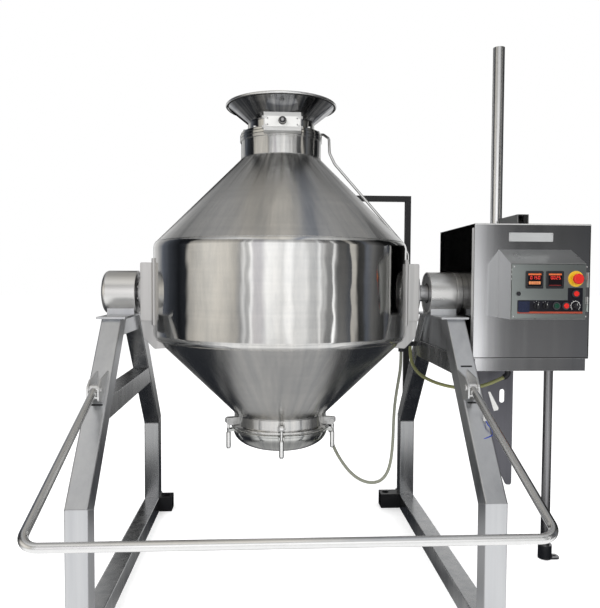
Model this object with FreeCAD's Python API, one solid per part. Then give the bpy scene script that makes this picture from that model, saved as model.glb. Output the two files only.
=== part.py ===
"""Double-cone blender: tilting vessel on two A-stands, drive cabinet, console and swing-up guard rail."""
import FreeCAD
import Part
import math
import os

V = FreeCAD.Vector
X, Y, Z = V(1, 0, 0), V(0, 1, 0), V(0, 0, 1)

# Main heights
TRUNNION_Z = 1165.0      # floor to the axis the vessel turns on
RUN_GAP = 0.3            # gap between faces that pass each other

# Vessel, heights from the trunnion axis
WALL = 5.0
BELT_R = 525.0
BELT_TOP = 196.0
BELT_BOTTOM = -177.0
KNUCKLE = 34.0
NECK_R = 167.0
NECK_BASE = 554.0
NECK_TOP = 640.0
OUTLET_R = 195.0
OUTLET_BASE = -502.0
OUTLET_END = -548.0
OUTLET_FLANGE_R = OUTLET_R + 12.0
OUTLET_FLANGE_T = 11.0

# Inlet valve and feed funnel
VALVE_FLANGE_R = 171.0
VALVE_FLANGE_T = 24.0
VALVE_BODY_R = 139.0
VALVE_BODY_H = 36.0
DISC_LIFT = 10.0         # disc centre above the flange plate
VALVE_BORE_R = 110.0
DISC_GAP = 1.0
DISC_T = 8.0
SPINDLE_R = 9.0
SPINDLE_HEAD_R = 13.5
SPINDLE_HEAD_L = 14.0
OPERATOR_W = 146.0
OPERATOR_H = 78.0
OPERATOR_D = 44.0
OPERATOR_STANDOFF = 14.0
FUNNEL_RIM_R = 226.0
FUNNEL_H = 75.0
FUNNEL_WALL = 3.0
RIM_BEAD_R = 5.0

# Discharge lid and its swing-bolt clamps
SEAL_T = 3.0
LID_RING_T = 11.0
LID_DISH_R = 199.0
LID_DISH_DEPTH = 84.0
LID_WALL = 4.0
CLAMP_COUNT = 5
CLAMP_REACH = 20.0       # pins outside the outlet flange
CLAMP_PCD_R = OUTLET_FLANGE_R + CLAMP_REACH
CLAMP_PIN_R = 5.0
CLAMP_PIN_DROP = 26.0    # pin below the start of the outlet neck
LUG_T = 6.0
LUG_W = 26.0
SWING_BOLT_R = 5.0
SWING_EYE_R = 11.0
SWING_EYE_W = 13.0
NUT_R = 9.5
NUT_L = 72.0
EAR_T = 11.0

# Trunnions, saddles and bearing drums
SADDLE_REACH = 40.0      # saddle face outside the belt
SADDLE_OUT = BELT_R + SADDLE_REACH
SADDLE_HALF_Y = 118.0
SADDLE_TOP = 122.0
SADDLE_BOTTOM = -112.0
SADDLE_PLATE = 8.0
PAD_T = 8.0
PAD_HALF_Y = 160.0
PAD_MARGIN = 16.0
PIPE_OUT = 21.0          # air pipe outside the belt where it drops to the saddle
TRUNNION_FLANGE_R = 78.0
TRUNNION_FLANGE_T = 18.0
SHAFT_R = 35.0
RACE_R = 49.0
RACE_W = 40.0
ROLLER_R = 9.2
ROLLER_COUNT = 14
ROLLER_PLAY = 0.15
DRUM_R = 90.0
DRUM_WALL = 8.0
DRUM_ROUND = 20.0
LEFT_DRUM_GAP = 29.0     # saddle face to the left drum
LEFT_DRUM_L = 138.0
RIGHT_DRUM_GAP = 60.0    # saddle face to the right drum
RIGHT_DRUM_L = 134.0
LEFT_DRUM_IN = -SADDLE_OUT - LEFT_DRUM_GAP
LEFT_DRUM_OUT = LEFT_DRUM_IN - LEFT_DRUM_L
RIGHT_DRUM_IN = SADDLE_OUT + RIGHT_DRUM_GAP
BEARING_INSET = 46.0
SEAL_PLATE_T = 7.0

# Stands
TUBE = 75.0
TUBE_WALL = 4.0
LEFT_STAND_INSET = 62.0  # stand centre line from the drum's inner face
RIGHT_STAND_INSET = 65.0
LEFT_STAND_X = LEFT_DRUM_IN - LEFT_STAND_INSET
RIGHT_STAND_X = RIGHT_DRUM_IN + RIGHT_STAND_INSET
LEG_TOP_Y = 167.0        # leg centre line where it meets the head plate
LEG_FOOT_Y = 645.0
LEG_BEND_Z = -682.0
HEAD_PLATE_T = 8.0
HEAD_PLATE_W = 110.0
HEAD_PLATE_HALF_Y = 228.0
LEFT_WEB_DEPTH = 70.0
RIGHT_WEB_DEPTH = 128.0
WEB_T = 8.0
LEFT_BRACE_Z = -405.0
RIGHT_BRACE_Z = -264.0
FOOT_REACH = 71.5        # left anchor holes inside the stand's centre line
FOOT_HOLE_X = -LEFT_STAND_X - FOOT_REACH    # floor anchor holes, half spacing across
FOOT_HOLE_Y = 650.0      # floor anchor holes, half spacing front to back
FOOT_HOLE_R = 9.0
FOOT_WALL = 6.0
FOOT_END = 30.0          # foot stub past its anchor hole

# Guard rail
RAIL_R = 12.7
RAIL_WALL = 2.0
RAIL_LEFT_X = LEFT_STAND_X + 4.0
RAIL_RIGHT_X = RIGHT_STAND_X - 18.0
RAIL_PIVOT_Y = -470.0
RAIL_PIVOT_Z = -325.0
RAIL_BAR_Y = -1150.0
RAIL_BAR_Z = -585.0
RAIL_BEND_R = 48.0
RAIL_PIN_R = 7.0
RAIL_BOSS_R = 17.0
RAIL_BOSS_W = 30.0
CHEEK_T = 6.0
CHEEK_H = 96.0
CHEEK_NOSE_R = 28.0
STOP_R = 5.0
STOP_REACH = 24.0        # stop pin from the pivot, along the arm
SHAFT_CLEAR = 0.05       # radial running clearance of pins and shafts

# Drive cabinet
CAB_W = 471.0
CAB_LEFT = RIGHT_DRUM_IN + RIGHT_DRUM_L
CAB_RIGHT = CAB_LEFT + CAB_W
CAB_FRONT = -220.0
CAB_BACK = 264.0
CAB_BOTTOM = -256.0
CAB_TOP = 282.0
CAB_SHEET = 3.0
CAB_LIP = 22.0
BASE_DEPTH = 50.0
BASE_INSET = 12.0
BASE_WALL = 4.0
BRACE_INSET = 1.0        # brace faces behind the leg faces

# Console on the cabinet front
CON_INSET = 99.0
CON_W = 292.0
CON_LEFT = CAB_LEFT + CON_INSET
CON_RIGHT = CON_LEFT + CON_W
CON_FRONT = -342.0
CON_BOTTOM = -90.0
CON_TOP_FRONT = 122.0
CON_TOP_BACK = 180.0
CON_SHEET = 3.0
DOOR_T = 3.0
DOOR_MARGIN = 4.0
METER = 66.0
METER_BEZEL_T = 7.0
METER_DEPTH = 60.0
METER_PITCH = 79.0
METER_1_X = CON_LEFT + 89.0
METER_2_X = METER_1_X + METER_PITCH
METER_Z = 60.0
ESTOP_X = CON_RIGHT - 42.0
ESTOP_Z = 64.0
ESTOP_PLATE_R = 30.0
ESTOP_CAP_R = 20.0
ROW_Z = -38.0
SELECTOR_X = (CON_LEFT + 99.0, CON_LEFT + 134.0)
START_X = CON_RIGHT - 117.0
STOP_X = CON_RIGHT - 80.0
KNOB_X = ESTOP_X
RESET_Z = 8.0
BEZEL_R = 14.5
BEZEL_HOLE_R = 10.5
CAP_R = 10.0
STEM_R = 5.0
HINGE_OUT = 6.0          # hinge line past the console side
HINGE_R = 5.0
HINGE_PIN_R = 2.5
KNUCKLE_H = 28.0
LOCK_X = CON_LEFT + 38.0
LOCK_Z = 7.0
LEGEND_T = 1.5
LEGEND_MARGIN_LEFT = 26.0
LEGEND_MARGIN_RIGHT = 14.0
LEGEND_UPRIGHT_W = 58.0

# Mast, duct, support pole and lower guard plate
MAST_X = CAB_LEFT + 215.0
MAST_Y = 130.0
MAST_R = 25.4
MAST_WALL = 2.0
MAST_TOP = CAB_TOP + 811.0
MAST_FOOT_R = 50.0
MAST_FOOT_T = 8.0
DUCT_X = MAST_X - 15.0
DUCT_W = 46.0
DUCT_H = 44.0
DUCT_FRONT = -150.0
DUCT_BACK = 60.0
POLE_X = CAB_RIGHT - 62.0
POLE_Y = -5.0
POLE_R = 19.0
POLE_WALL = 2.5
POLE_FOOT_R = 29.0
POLE_FOOT_H = 62.0
POLE_LUG = 62.0
POLE_HOLE_R = 7.0
POLE_HOLE_INSET = 18.0   # anchor hole from the lug's end
PLATE_Y = 20.0
PLATE_T = 3.0
PLATE_W = 177.0
PLATE_LEFT = CAB_LEFT + 86.0
PLATE_RIGHT = PLATE_LEFT + PLATE_W
PLATE_END = -845.0
PLATE_FLANGE = 32.0
HANGER_D = 30.0
NAME_PLATE_W = 178.0
NAME_PLATE_H = 35.0

# Sensor arm behind the vessel
ARM_TUBE = 30.0
ARM_TOP = 506.0
ARM_L = 300.0
ARM_POST_X = RIGHT_STAND_X + 10.0
ARM_END_X = ARM_POST_X - ARM_L
ARM_POST_FOOT = -820.0

# Drive train
GEAR_MODULE = 4.0
BULL_TEETH = 60
PINION_TEETH = 15
GEAR_W = 44.0
GEAR_X = CAB_LEFT + 47.0  # left face of both gears
GEAR_BACKLASH = 0.35
PINION_SHAFT_R = 16.0
MOTOR_R = 72.0
MOTOR_L = 190.0
REDUCER_HALF = 84.0

# Cables
LID_CABLE_R = 6.5
SUPPLY_CABLE_R = 7.5
GLAND_R = 12.0
GLAND_L = 22.0
ELBOW_L = 20.0
ELBOW_BEND_R = 24.0


def at(x, y, z):
    """Point with its height counted from the trunnion axis."""
    return V(x, y, z + TRUNNION_Z)


def box(x0, x1, y0, y1, z0, z1):
    """Box between two corners, heights from the trunnion axis."""
    return Part.makeBox(x1 - x0, y1 - y0, z1 - z0, at(x0, y0, z0))


def cyl(r, length, base, axis=Z):
    return Part.makeCylinder(r, length, base, axis)


def ring(r_out, r_in, length, base, axis=Z):
    return cyl(r_out, length, base, axis).cut(cyl(r_in, length, base, axis))


def group(solids):
    return Part.Compound(list(solids))


def rounded_wire(corners):
    """Closed wire through 3-D corners; each is (point, radius of its rounding)."""
    edges = []
    ends = []
    count = len(corners)
    for i, (p, r) in enumerate(corners):
        before = corners[i - 1][0]
        after = corners[(i + 1) % count][0]
        if r <= 0:
            ends.append((p, p))
            continue
        a = (before - p).normalize()
        b = (after - p).normalize()
        half = a.getAngle(b) / 2
        reach = r / math.tan(half)
        middle = p + (a + b).normalize() * (r / math.sin(half) - r)
        start = p + a * reach
        stop = p + b * reach
        ends.append((start, stop))
        edges.append(Part.Arc(start, middle, stop).toShape())
    for i in range(count):
        start = ends[i - 1][1]
        stop = ends[i][0]
        if start.distanceToPoint(stop) > 1e-6:
            edges.append(Part.LineSegment(start, stop).toShape())
    return Part.Wire(Part.__sortEdges__(edges))


def prism(points, plane, start, length):
    """Extrude an outline. plane "xz" runs along Y, "yz" along X, "xy" along Z; points (a, b, radius)."""
    corners = []
    for a, b, r in points:
        if plane == "xz":
            corners.append((at(a, start, b), r))
        elif plane == "yz":
            corners.append((at(start, a, b), r))
        else:
            corners.append((at(a, b, start), r))
    direction = {"xz": Y, "yz": X, "xy": Z}[plane]
    return Part.Face(rounded_wire(corners)).extrude(direction * length)


def turned(points, x=0.0, y=0.0):
    """Revolve an outline of (radius, height, rounding) about the vertical line through x, y."""
    corners = [(at(x + r, y, z), round_r) for r, z, round_r in points]
    return Part.Face(rounded_wire(corners)).revolve(V(x, y, 0), Z, 360)


def turned_x(points):
    """Revolve an outline of (x, radius, rounding) about the trunnion axis."""
    corners = [(at(x, 0, r), round_r) for x, r, round_r in points]
    return Part.Face(rounded_wire(corners)).revolve(at(0, 0, 0), X, 360)


def bent_path(points, radii):
    """Straight runs joined by tangent arcs, with one radius per inner point."""
    edges = []
    last = points[0]
    for i in range(1, len(points) - 1):
        p = points[i]
        a = (points[i - 1] - p).normalize()
        b = (points[i + 1] - p).normalize()
        half = a.getAngle(b) / 2
        r = radii[i - 1]
        reach = r / math.tan(half)
        middle = p + (a + b).normalize() * (r / math.sin(half) - r)
        edges.append(Part.LineSegment(last, p + a * reach).toShape())
        edges.append(Part.Arc(p + a * reach, middle, p + b * reach).toShape())
        last = p + b * reach
    edges.append(Part.LineSegment(last, points[-1]).toShape())
    return Part.Wire(edges)


def rod(path, radius):
    """Round bar that follows a path."""
    start = path.Edges[0].firstVertex(True).Point
    heading = path.Edges[0].tangentAt(path.Edges[0].FirstParameter)
    circle = Part.Wire(Part.Circle(start, heading, radius).toShape())
    return Part.Wire(path.Edges).makePipeShell([circle], True, False)


def cord_radii(points):
    """Each arc as large as its two runs allow."""
    radii = []
    for i in range(1, len(points) - 1):
        a = points[i - 1] - points[i]
        b = points[i + 1] - points[i]
        turn = math.pi - a.getAngle(b)
        radii.append(0.45 * min(a.Length, b.Length) / math.tan(turn / 2))
    return radii


def cord(name, points, radius):
    """Plain tube of a cable, with its length and bend radii printed."""
    radii = cord_radii(points)
    path = bent_path(points, radii)
    solid = rod(path, radius)
    ratio = solid.Volume / (math.pi * radius ** 2 * path.Length)
    print(name, "length", round(path.Length), "volume ratio", round(ratio, 4),
          "radii", [round(r) for r in radii])
    return solid


def spin(shape, angle, centre=V(0, 0, 0), axis=Z):
    copy = shape.copy()
    copy.rotate(centre, axis, angle)
    return copy


def mirror_x(shape):
    return shape.mirror(V(0, 0, 0), X)


# Vessel body

def vessel_outline(inset):
    """Half outline of the vessel, moved in by a wall thickness measured square to the wall."""
    up = math.atan2(NECK_BASE - BELT_TOP, BELT_R - NECK_R)
    down = math.atan2(BELT_BOTTOM - OUTLET_BASE, BELT_R - OUTLET_R)
    lift_up = inset * math.tan((math.pi / 2 - up) / 2)
    lift_down = inset * math.tan((math.pi / 2 - down) / 2)
    knuckle = KNUCKLE - inset
    return [
        (OUTLET_R - inset, OUTLET_BASE + lift_down, 12 + inset),
        (BELT_R - inset, BELT_BOTTOM + lift_down, knuckle),
        (BELT_R - inset, BELT_TOP - lift_up, knuckle),
        (NECK_R - inset, NECK_BASE - lift_up, 8 + inset),
    ]


def vessel_solid(inset, low, high):
    """The vessel as a closed solid of revolution from low to high."""
    outline = [(0, low, 0), (OUTLET_R - inset, low, 0)]
    outline += vessel_outline(inset)
    outline += [(NECK_R - inset, high, 0), (0, high, 0)]
    return turned(outline)


def vessel_shell():
    shell = vessel_solid(0, OUTLET_END, NECK_TOP)
    flange_base = OUTLET_END - OUTLET_FLANGE_T
    flange = turned([
        (OUTLET_R - WALL, flange_base, 0), (OUTLET_FLANGE_R, flange_base, 2),
        (OUTLET_FLANGE_R, OUTLET_END, 2), (OUTLET_R - WALL, OUTLET_END, 0),
    ])
    rim = turned([
        (NECK_R - WALL, NECK_TOP - 14, 0), (VALVE_FLANGE_R, NECK_TOP - 14, 2),
        (VALVE_FLANGE_R, NECK_TOP, 0), (NECK_R - WALL, NECK_TOP, 0),
    ])
    inside = vessel_solid(WALL, OUTLET_END - 20, NECK_TOP + 20)
    return shell.fuse([flange, rim]).cut(inside).removeSplitter()


VALVE_BASE = NECK_TOP
VALVE_TOP = VALVE_BASE + VALVE_FLANGE_T + VALVE_BODY_H
DISC_Z = VALVE_BASE + VALVE_FLANGE_T + DISC_LIFT


def inlet_valve_body():
    """Adapter plate, and on it the valve ring with a boss for the spindle."""
    flange_top = VALVE_BASE + VALVE_FLANGE_T
    plate = turned([
        (VALVE_BORE_R, VALVE_BASE, 0), (VALVE_FLANGE_R, VALVE_BASE, 0),
        (VALVE_FLANGE_R, VALVE_BASE + 11, 1.5), (VALVE_FLANGE_R - 3, VALVE_BASE + 13, 0),
        (VALVE_FLANGE_R - 3, flange_top, 3), (VALVE_BORE_R, flange_top, 0),
    ])
    body = ring(VALVE_BODY_R, VALVE_BORE_R, VALVE_BODY_H, at(0, 0, flange_top))
    body = body.makeFillet(1.5, [e for e in body.Edges if e.BoundBox.ZMin > TRUNNION_Z + VALVE_TOP - 1
                                 and e.BoundBox.XLength > 2 * VALVE_BODY_R - 1])
    boss_len = OPERATOR_STANDOFF + 10
    boss = cyl(24, boss_len, at(0, -VALVE_BODY_R - OPERATOR_STANDOFF, DISC_Z), Y)
    boss = boss.common(box(-30, 30, -200, 0, flange_top, VALVE_TOP + 30))
    body = body.fuse(boss).cut(cyl(SPINDLE_R + SHAFT_CLEAR, 400, at(0, -200, DISC_Z), Y))
    body = body.cut(cyl(VALVE_BORE_R, 200, at(0, 0, VALVE_BASE)))
    return group([plate, body.removeSplitter()])


def inlet_valve_disc():
    """Butterfly disc with its hub, spindle and the round head seen in front."""
    disc = turned([
        (0, DISC_Z - DISC_T / 2, 0), (VALVE_BORE_R - DISC_GAP, DISC_Z - DISC_T / 2, 2),
        (VALVE_BORE_R - DISC_GAP, DISC_Z + DISC_T / 2, 2), (0, DISC_Z + DISC_T / 2, 0),
    ])
    hub = cyl(SPINDLE_R + 5, 2 * (VALVE_BORE_R - 12), at(0, -VALVE_BORE_R + 12, DISC_Z), Y)
    front = -VALVE_BODY_R - OPERATOR_STANDOFF - OPERATOR_D - SPINDLE_HEAD_L
    rear = VALVE_BODY_R
    spindle = cyl(SPINDLE_R, rear - front, at(0, front, DISC_Z), Y)
    head = cyl(SPINDLE_HEAD_R, SPINDLE_HEAD_L - RUN_GAP, at(0, front, DISC_Z), Y)
    slot = box(-SPINDLE_HEAD_R, SPINDLE_HEAD_R, front, front + 4, DISC_Z - 2, DISC_Z + 2)
    return disc.fuse([hub, spindle, head]).cut(slot).removeSplitter()


def valve_operator():
    """Folded box in front of the valve with a chamfered hood and two fixing screws each side."""
    back = -VALVE_BODY_R - OPERATOR_STANDOFF
    front = back - OPERATOR_D
    low = DISC_Z - OPERATOR_H / 2 - 2
    high = low + OPERATOR_H
    outline = [(back, low, 0), (front - 8, low, 2), (front - 8, low + 8, 2), (front, low + 14, 2),
               (front, high - 18, 3), (front + 16, high, 3), (back, high, 0)]
    block = prism(outline, "yz", -OPERATOR_W / 2, OPERATOR_W)
    clear_flange = cyl(VALVE_FLANGE_R + 0.5, VALVE_FLANGE_T + 30.5, at(0, 0, VALVE_BASE - 30))
    bore = cyl(SPINDLE_R + SHAFT_CLEAR, OPERATOR_D + 60, at(0, front - 30, DISC_Z), Y)
    block = block.cut(clear_flange).cut(bore)
    screws = []
    for side in (-1, 1):
        for height in (low + 20, high - 20):
            head = cyl(6, 7, at(side * OPERATOR_W / 2, back - OPERATOR_D / 2, height), X * side)
            screws.append(head)
    return block.fuse(screws).removeSplitter()


def feed_funnel():
    """Shallow cone with a seat ring and a rolled rim."""
    top = VALVE_TOP + FUNNEL_H
    shell = turned([
        (VALVE_BODY_R - 14, VALVE_TOP, 0), (VALVE_BODY_R, VALVE_TOP, 0),
        (VALVE_BODY_R, VALVE_TOP + 5, 1), (FUNNEL_RIM_R, top, 0),
        (FUNNEL_RIM_R - FUNNEL_WALL, top, 0), (VALVE_BODY_R - FUNNEL_WALL - 1, VALVE_TOP + 5, 0),
        (VALVE_BODY_R - 14, VALVE_TOP + 5, 0),
    ])
    bead = Part.makeTorus(FUNNEL_RIM_R, RIM_BEAD_R, at(0, 0, top))
    return shell.fuse(bead).removeSplitter()


SEAL_BASE = OUTLET_END - OUTLET_FLANGE_T - SEAL_T
LID_RING_BASE = SEAL_BASE - LID_RING_T
CLAMP_PIN_Z = OUTLET_BASE - CLAMP_PIN_DROP


def lid_seal():
    return ring(OUTLET_FLANGE_R - 5, OUTLET_R - WALL, SEAL_T, at(0, 0, SEAL_BASE))


def clamp_angles():
    return [-90 + i * 360 / CLAMP_COUNT for i in range(CLAMP_COUNT)]


def discharge_lid():
    """Dished lid with a flange ring and one slotted ear for each swing bolt."""
    dish = []
    steps = 9
    for i in range(steps + 1):
        angle = math.pi / 2 * i / steps
        dish.append((LID_DISH_R * math.sin(angle) ** 0.8, -LID_DISH_DEPTH * math.cos(angle) ** 0.9))
    outer = [at(r, 0, LID_RING_BASE + z) for r, z in dish]
    scale = (LID_DISH_R - LID_WALL) / LID_DISH_R
    depth = (LID_DISH_DEPTH - LID_WALL) / LID_DISH_DEPTH
    inner = [at(r * scale, 0, LID_RING_BASE + z * depth) for r, z in dish]
    curve_out = Part.BSplineCurve()
    curve_out.interpolate(outer)
    curve_in = Part.BSplineCurve()
    curve_in.interpolate(inner)
    wire = Part.Wire([
        curve_out.toShape(),
        Part.LineSegment(outer[-1], inner[-1]).toShape(),
        curve_in.toShape(),
        Part.LineSegment(inner[0], outer[0]).toShape(),
    ])
    shell = Part.Face(wire).revolve(V(0, 0, 0), Z, 360)
    flange = turned([
        (LID_DISH_R - LID_WALL, LID_RING_BASE, 0), (OUTLET_FLANGE_R, LID_RING_BASE, 3),
        (OUTLET_FLANGE_R, SEAL_BASE, 3), (LID_DISH_R - LID_WALL, SEAL_BASE, 0),
    ])
    ears = []
    slots = []
    reach = CLAMP_PCD_R + SWING_BOLT_R
    for angle in clamp_angles():
        ear = prism([(OUTLET_FLANGE_R - 8, -13, 0), (reach, -13, 3), (reach, 13, 3),
                     (OUTLET_FLANGE_R - 8, 13, 0)], "xy", LID_RING_BASE, EAR_T)
        ears.append(spin(ear, angle))
        slot = box(CLAMP_PCD_R, reach + 5, -SWING_BOLT_R - 1, SWING_BOLT_R + 1,
                   LID_RING_BASE - 5, SEAL_BASE + 5)
        end = cyl(SWING_BOLT_R + 1, LID_RING_T + 10, at(CLAMP_PCD_R, 0, LID_RING_BASE - 5))
        slots.append(spin(slot.fuse(end), angle))
    return shell.fuse([flange] + ears).cut(slots).removeSplitter()


def clamp_lugs():
    """A pair of welded lugs with a cross pin for each swing bolt."""
    solids = []
    low = CLAMP_PIN_Z - 8
    for angle in clamp_angles():
        for side in (-1, 1):
            inner = SWING_EYE_W / 2 + RUN_GAP
            y0 = inner if side > 0 else -inner - LUG_T
            lug = prism([
                (OUTLET_R - 30, OUTLET_BASE - 14, 0), (OUTLET_R - 30, OUTLET_END + 2, 0),
                (CLAMP_PCD_R, OUTLET_END + 2, 0), (CLAMP_PCD_R + 12, low, 6),
                (CLAMP_PCD_R + 12, CLAMP_PIN_Z + 13, 9), (CLAMP_PCD_R - 6, CLAMP_PIN_Z + 13, 9),
            ], "xz", y0, LUG_T)
            lug = lug.cut(vessel_solid(0, OUTLET_END - 40, NECK_TOP))
            lug = lug.cut(cyl(CLAMP_PIN_R, 60, at(CLAMP_PCD_R, -30, CLAMP_PIN_Z), Y))
            solids.append(spin(lug, angle))
        pin_half = SWING_EYE_W / 2 + LUG_T + 3
        pin = cyl(CLAMP_PIN_R, 2 * pin_half, at(CLAMP_PCD_R, -pin_half, CLAMP_PIN_Z), Y)
        head = cyl(CLAMP_PIN_R + 3, 2.4, at(CLAMP_PCD_R, -pin_half, CLAMP_PIN_Z), Y)
        solids.append(spin(pin.fuse(head), angle))
    return group(solids)


def swing_bolt(angle):
    """Eye bolt on its pin with a long round handle nut below the lid ear."""
    nut_top = LID_RING_BASE - RUN_GAP
    eye = cyl(SWING_EYE_R, SWING_EYE_W, at(CLAMP_PCD_R, -SWING_EYE_W / 2, CLAMP_PIN_Z), Y)
    shank_len = CLAMP_PIN_Z - (nut_top - NUT_L + 12)
    shank = cyl(SWING_BOLT_R, shank_len, at(CLAMP_PCD_R, 0, nut_top - NUT_L + 12))
    bolt = eye.fuse(shank)
    bolt = bolt.cut(cyl(CLAMP_PIN_R + SHAFT_CLEAR, 40, at(CLAMP_PCD_R, -20, CLAMP_PIN_Z), Y))
    nut = turned([
        (0, nut_top - NUT_L, 0), (NUT_R - 2, nut_top - NUT_L, 2), (NUT_R, nut_top - NUT_L + 8, 4),
        (NUT_R, nut_top - 6, 3), (NUT_R - 2.5, nut_top, 0), (0, nut_top, 0),
    ], CLAMP_PCD_R)
    nut = nut.cut(shank)
    return group([spin(bolt.removeSplitter(), angle), spin(nut, angle)])


def saddle(side):
    """Curved pad, hollow trunnion box and the gusset that follows the lower cone, as welded pieces."""
    low = SADDLE_BOTTOM - PAD_MARGIN
    high = SADDLE_TOP + PAD_MARGIN
    pad = ring(BELT_R + PAD_T, BELT_R, high - low, at(0, 0, low))
    pad = pad.common(box(300, BELT_R + PAD_T, -PAD_HALF_Y, PAD_HALF_Y, low, high))
    case = prism([(BELT_R - 60, SADDLE_BOTTOM, 0), (SADDLE_OUT, SADDLE_BOTTOM, 6),
                  (SADDLE_OUT, SADDLE_TOP, 6), (BELT_R - 60, SADDLE_TOP, 0)],
                 "xz", -SADDLE_HALF_Y, 2 * SADDLE_HALF_Y)
    hollow = box(BELT_R - 70, SADDLE_OUT - SADDLE_PLATE, -SADDLE_HALF_Y + SADDLE_PLATE,
                 SADDLE_HALF_Y - SADDLE_PLATE, SADDLE_BOTTOM + SADDLE_PLATE,
                 SADDLE_TOP - SADDLE_PLATE)
    drum = cyl(BELT_R + PAD_T, 600, at(0, 0, -300))
    case = case.cut([hollow, drum])
    tip_z = SADDLE_BOTTOM - 116
    gusset = prism([
        (BELT_R - 60, SADDLE_BOTTOM, 0), (SADDLE_OUT, SADDLE_BOTTOM, 0),
        (SADDLE_OUT - 8, SADDLE_BOTTOM - 70, 24), (BELT_R - 12, tip_z, 10),
        (BELT_R - 66, tip_z + 4, 4), (BELT_R - 120, tip_z + 90, 0),
    ], "xz", -SADDLE_HALF_Y + 22, 2 * SADDLE_HALF_Y - 44)
    vessel = vessel_solid(0, OUTLET_END, NECK_TOP)
    gusset = gusset.cut([vessel, pad])
    gusset = max(gusset.Solids, key=lambda s: s.Volume)
    solids = [pad, case, gusset]
    return solids if side > 0 else [mirror_x(s) for s in solids]


def saddles():
    return group(saddle(-1) + saddle(1))


def trunnion(side):
    """Flange, shaft and bearing race; the right one is longer and carries the big gear."""
    end = -LEFT_DRUM_OUT - 14 if side < 0 else GEAR_X + GEAR_W + 40
    race_mid = bearing_middle(side) * side
    shaft = turned_x([
        (SADDLE_OUT, 0, 0), (SADDLE_OUT, TRUNNION_FLANGE_R, 3),
        (SADDLE_OUT + TRUNNION_FLANGE_T, TRUNNION_FLANGE_R, 3),
        (SADDLE_OUT + TRUNNION_FLANGE_T, SHAFT_R, 2),
        (race_mid - RACE_W / 2, SHAFT_R, 0), (race_mid - RACE_W / 2, RACE_R, 1.5),
        (race_mid + RACE_W / 2, RACE_R, 1.5), (race_mid + RACE_W / 2, SHAFT_R, 0),
        (end, SHAFT_R, 2), (end, 0, 0),
    ])
    bolts = []
    for i in range(8):
        angle = math.radians(22.5 + 45 * i)
        place = at(SADDLE_OUT + TRUNNION_FLANGE_T, 60 * math.cos(angle), 60 * math.sin(angle))
        bolts.append(cyl(7, 6, place, X))
    shaft = shaft.fuse(bolts).removeSplitter()
    return shaft if side > 0 else mirror_x(shaft)


def bearing_middle(side):
    """Middle of the bearing along X."""
    if side < 0:
        return LEFT_DRUM_IN - BEARING_INSET - RACE_W / 2
    return RIGHT_DRUM_IN + BEARING_INSET + RACE_W / 2 - 12


def bull_gear():
    return gear(BULL_TEETH, SHAFT_R, V(GEAR_X, 0, TRUNNION_Z), 90 + 180 / BULL_TEETH, rim=22)


def air_pipe():
    """Rigid pipe from the valve ring down along the cone to the right saddle."""
    drop_x = BELT_R + PIPE_OUT
    points = [at(VALVE_BODY_R - 15, 58, DISC_Z), at(VALVE_BODY_R + 41, 30, DISC_Z),
              at(NECK_R + 35, 6, NECK_TOP + 12), at(NECK_R + 37, 0, NECK_BASE + 36),
              at(NECK_R + 59, 0, NECK_BASE - 9), at(BELT_R - 6, 0, BELT_TOP + 18),
              at(drop_x, 0, BELT_TOP - 30), at(drop_x, 0, SADDLE_TOP)]
    path = bent_path(points, [14, 14, 40, 40, 40, 40])
    pipe = rod(path, 5.5)
    nut = cyl(9, 12, at(drop_x, 0, SADDLE_TOP))
    pipe = pipe.fuse(nut).cut(cyl(VALVE_BODY_R, 60, at(0, 0, DISC_Z - 30)))
    return pipe.removeSplitter()


LID_CABLE_ROUTE = [
    at(219, 0, -596), at(219, 0, -622), at(227, -7, -655), at(244, -16, -690),
    at(268, -24, -728), at(299, -31, -766), at(338, -36, -796), at(384, -38, -811),
    at(429, -36, -804), at(459, -31, -770), at(474, -26, -722), at(481, -22, -668),
    at(485, -18, -610), at(487, -14, -550), at(491, -10, -490), at(499, -6, -430),
    at(510, -2, -370), at(519, 0, -311), at(519, 0, -251),
]


def lid_cable():
    return cord("lid_cable", LID_CABLE_ROUTE, LID_CABLE_R)


def vessel_glands():
    """Glands at both ends of the lid cable."""
    start = LID_CABLE_ROUTE[0]
    ring_base = TRUNNION_Z + LID_RING_BASE
    low = cyl(GLAND_R, ring_base + LID_RING_T - start.z, start)
    tab = box(OUTLET_FLANGE_R - GLAND_R, start.x, -GLAND_R, GLAND_R, LID_RING_BASE, SEAL_BASE)
    low = low.fuse(tab).cut(cyl(OUTLET_FLANGE_R, 80, at(0, 0, LID_RING_BASE - 40)))
    high = cyl(GLAND_R, 30, LID_CABLE_ROUTE[-1])
    high = high.cut(saddle(1)[2])
    return group([low, max(high.Solids, key=lambda s: s.BoundBox.ZMin * -1)])


# Bearings and drums

def left_bearing_housing():
    """Drum with a rounded closed end."""
    drum = turned_x([
        (LEFT_DRUM_IN, DRUM_R - DRUM_WALL, 0), (LEFT_DRUM_IN, DRUM_R, 1.5),
        (LEFT_DRUM_OUT, DRUM_R, DRUM_ROUND), (LEFT_DRUM_OUT, 0, 0),
        (LEFT_DRUM_OUT + DRUM_WALL, 0, 0),
        (LEFT_DRUM_OUT + DRUM_WALL, DRUM_R - DRUM_WALL, DRUM_ROUND - DRUM_WALL),
    ])
    return drum


def right_bearing_housing():
    """Drum open at both ends, with a groove where its collar meets the cabinet."""
    seam = RIGHT_DRUM_IN + 110
    return turned_x([
        (RIGHT_DRUM_IN, DRUM_R - DRUM_WALL, 0), (RIGHT_DRUM_IN, DRUM_R, 1.5),
        (seam - 1, DRUM_R, 0), (seam - 1, DRUM_R - 2, 0), (seam + 1, DRUM_R - 2, 0),
        (seam + 1, DRUM_R, 0), (CAB_LEFT, DRUM_R, 0), (CAB_LEFT, DRUM_R - DRUM_WALL, 0),
    ])


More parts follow.
